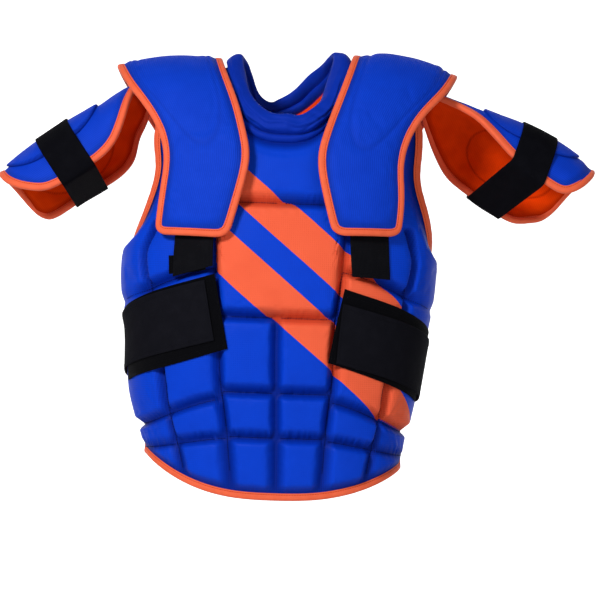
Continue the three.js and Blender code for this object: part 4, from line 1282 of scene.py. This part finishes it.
def strapRings(kind, label):
    plan = straps[kind]
    at = np.linspace(0, len(plan[label][0]) - 1, plan["steps"])
    place = merge(*[read(np.arange(len(values)), values, at) for values in plan[label]])
    ahead = unit(np.gradient(place, axis=0))
    across, off = ribbonSection(plan)
    far = place[:, None, 0] - ahead[:, None, 1] * across
    z = place[:, None, 1] + ahead[:, None, 0] * across
    share, high = at[:, None] / at[-1], across / across.max()
    z = z - plan["slant"].get(label, 0) * share ** 2 * high  # an end cut aslant, or with one longer corner
    far = far - plan["corner"].get(label, 0) * (1 - smooth(0, 0.5, share)) * (1 + high) / 2
    sign = 1 if label == "Left" else -1
    rings = offBody(sign * angleOf(far, z), z, standOff(kind, label, far, z) + off)
    return rings, *ribbonMarks(rings, across)


def edgeSeams(rings, ends):
    # lines a little in from the edges of a strap, and across its ends
    count = rings.shape[1]
    lines = [(rings[:, i], rings[:, count - 1 - i]) for i in (3, 7)]
    lines += [(rings[i, 3:8], rings[i, count - 1 - np.arange(3, 8)]) for i in ends]
    return [(face + 0.15 * unit(face - back), unit(face - back)) for face, back in lines]


strapSeams = []
for kind, plan in straps.items():
    for label in [side for side in ("Left", "Right") if side in plan]:
        rings, marks, length = strapRings(kind, label)
        node = kind.replace("Strap", "_strap_").replace("Patch", "_patch_") + label.lower()
        piece = addTube(kind + label, node, plan["slot"], plan["cloth"], rings, marks)
        flatSize(plan["wide"], length)
        strapSeams += edgeSeams(rings, plan["sewnAt"])
sewRows("strapStitches", "black_webbing", "blackThread", strapSeams, wide=0.6)
print("straps done")


# Hidden tabs from the shoulders to the arm shells

armLink = {
    "wide": 36, "thick": 2.5, "steps": 30, "sewnX": 132, "sewnZ": 38.5, "edgeX": 160, "edgeZ": 35,
    "onArm": (-18, -8),
}

for label, arm in armGuards.items():
    radius = arm["radius"] + 2 * gap + armLink["thick"] / 2
    knots = [[arm["sign"] * armLink[end + "X"], 0, armLink[end + "Z"]] for end in ("sewn", "edge")]
    knots = np.array(knots + [armSpot(arm, at, 0, radius) for at in armLink["onArm"]])
    at = np.linspace(0, 3, armLink["steps"])
    path = merge(*[read(np.arange(4), values, at) for values in knots.T])
    ahead = unit(np.gradient(path, axis=0))
    up = merge(-ahead[:, 2], 0.0, ahead[:, 0]) * arm["sign"]
    across, off = ribbonSection(armLink)
    rings = path[:, None] + up[:, None] * (off - armLink["thick"] / 2)[:, None]
    rings = rings + across[:, None] * np.array([0, 1, 0])
    marks = {"lay": merge(arcLength(rings, 1), arcLength(rings, 0), 1.0)}
    node = "arm_link_" + label.lower()
    piece = addTube("armLink" + label, node, "black_webbing", "webbing", rings, marks)
    length = arcLength(path)[-1]
    flatSize(armLink["wide"], length)

sewRows("tapeStitches", "orange_tape", "orangeThread", tapeSeams, pitch=3.2, wide=0.7)
print("links and stitches done")


# Studio: white sweep, soft light and the camera in front

studio = {
    "floor": -1.36, "behind": 4.2, "side": 6.0, "front": -5.0, "top": 4.0, "curve": 0.7, "glow": 0.9,
    "camera": (0.0273, -2.6, -0.256), "lens": 121.9, "sensor": 36, "roll": 2.0,
    "target": (0, 0, -0.2), "world": 0.13,
    "lights": [  # place, size and power
        ((-1.4, -2.4, 1.15), 0.6, 66), ((1.6, -2.8, 0.2), 1.8, 17), ((0.2, -0.4, 2.1), 1.6, 1),
    ],
}


def addSweep():
    # floor and back wall in one curved sheet
    plan = studio
    curve = np.radians(np.linspace(0, 90, 16))
    y = plan["behind"] - plan["curve"] * (1 - np.sin(curve))
    z = plan["floor"] + plan["curve"] * (1 - np.cos(curve))
    y = np.concatenate([[plan["front"]], y, [plan["behind"]]])
    z = np.concatenate([[plan["floor"]], z, [plan["top"]]])
    x = np.array([-plan["side"], 0, plan["side"]])
    piece, order = addGrid("studioSweep", merge(x, y[:, None], z[:, None]) / mm)
    finish = Finish("pale backdrop", 0.9)
    height = finish.part(finish.place(), "Z")
    lit = ((height - plan["floor"]) * 10).limited()  # only the wall behind is lit up, not the floor
    finish.set("Emission Color", finish.mix((0, 0, 0, 1), (1, 1, 1, 1), lit))
    finish.set("Emission Strength", plan["glow"])
    ground = finish.mix(colours["floor"], colours["dimFloor"], finish.noise(900, 1))
    piece.data.materials.append(finish.done(ground))
    pickOnly(piece)
    bpy.ops.object.shade_smooth()


addSweep()
for place, size, power in studio["lights"]:
    clearSelection()
    bpy.ops.object.light_add(type="AREA", location=place)
    light = bpy.context.object
    light.data.size, light.data.energy = size, power
    ahead = np.subtract(studio["target"], place)
    tilt = math.atan2(math.hypot(ahead[0], ahead[1]), -ahead[2])
    light.rotation_euler = (tilt, 0, math.atan2(-ahead[0], ahead[1]))

world = bpy.data.worlds.new("studio")
world.use_nodes = True
background = world.node_tree.nodes["Background"].inputs
background["Color"].default_value = (1, 1, 1, 1)
background["Strength"].default_value = studio["world"]
bpy.context.scene.world = world
bpy.context.scene.view_settings.view_transform = "Standard"

clearSelection()
rotation = (math.pi / 2, math.radians(-studio["roll"]), 0)
bpy.ops.object.camera_add(location=studio["camera"], rotation=rotation)
camera = bpy.context.object
camera.data.lens, camera.data.sensor_width = studio["lens"], studio["sensor"]
bpy.context.scene.camera = camera
print("studio done")
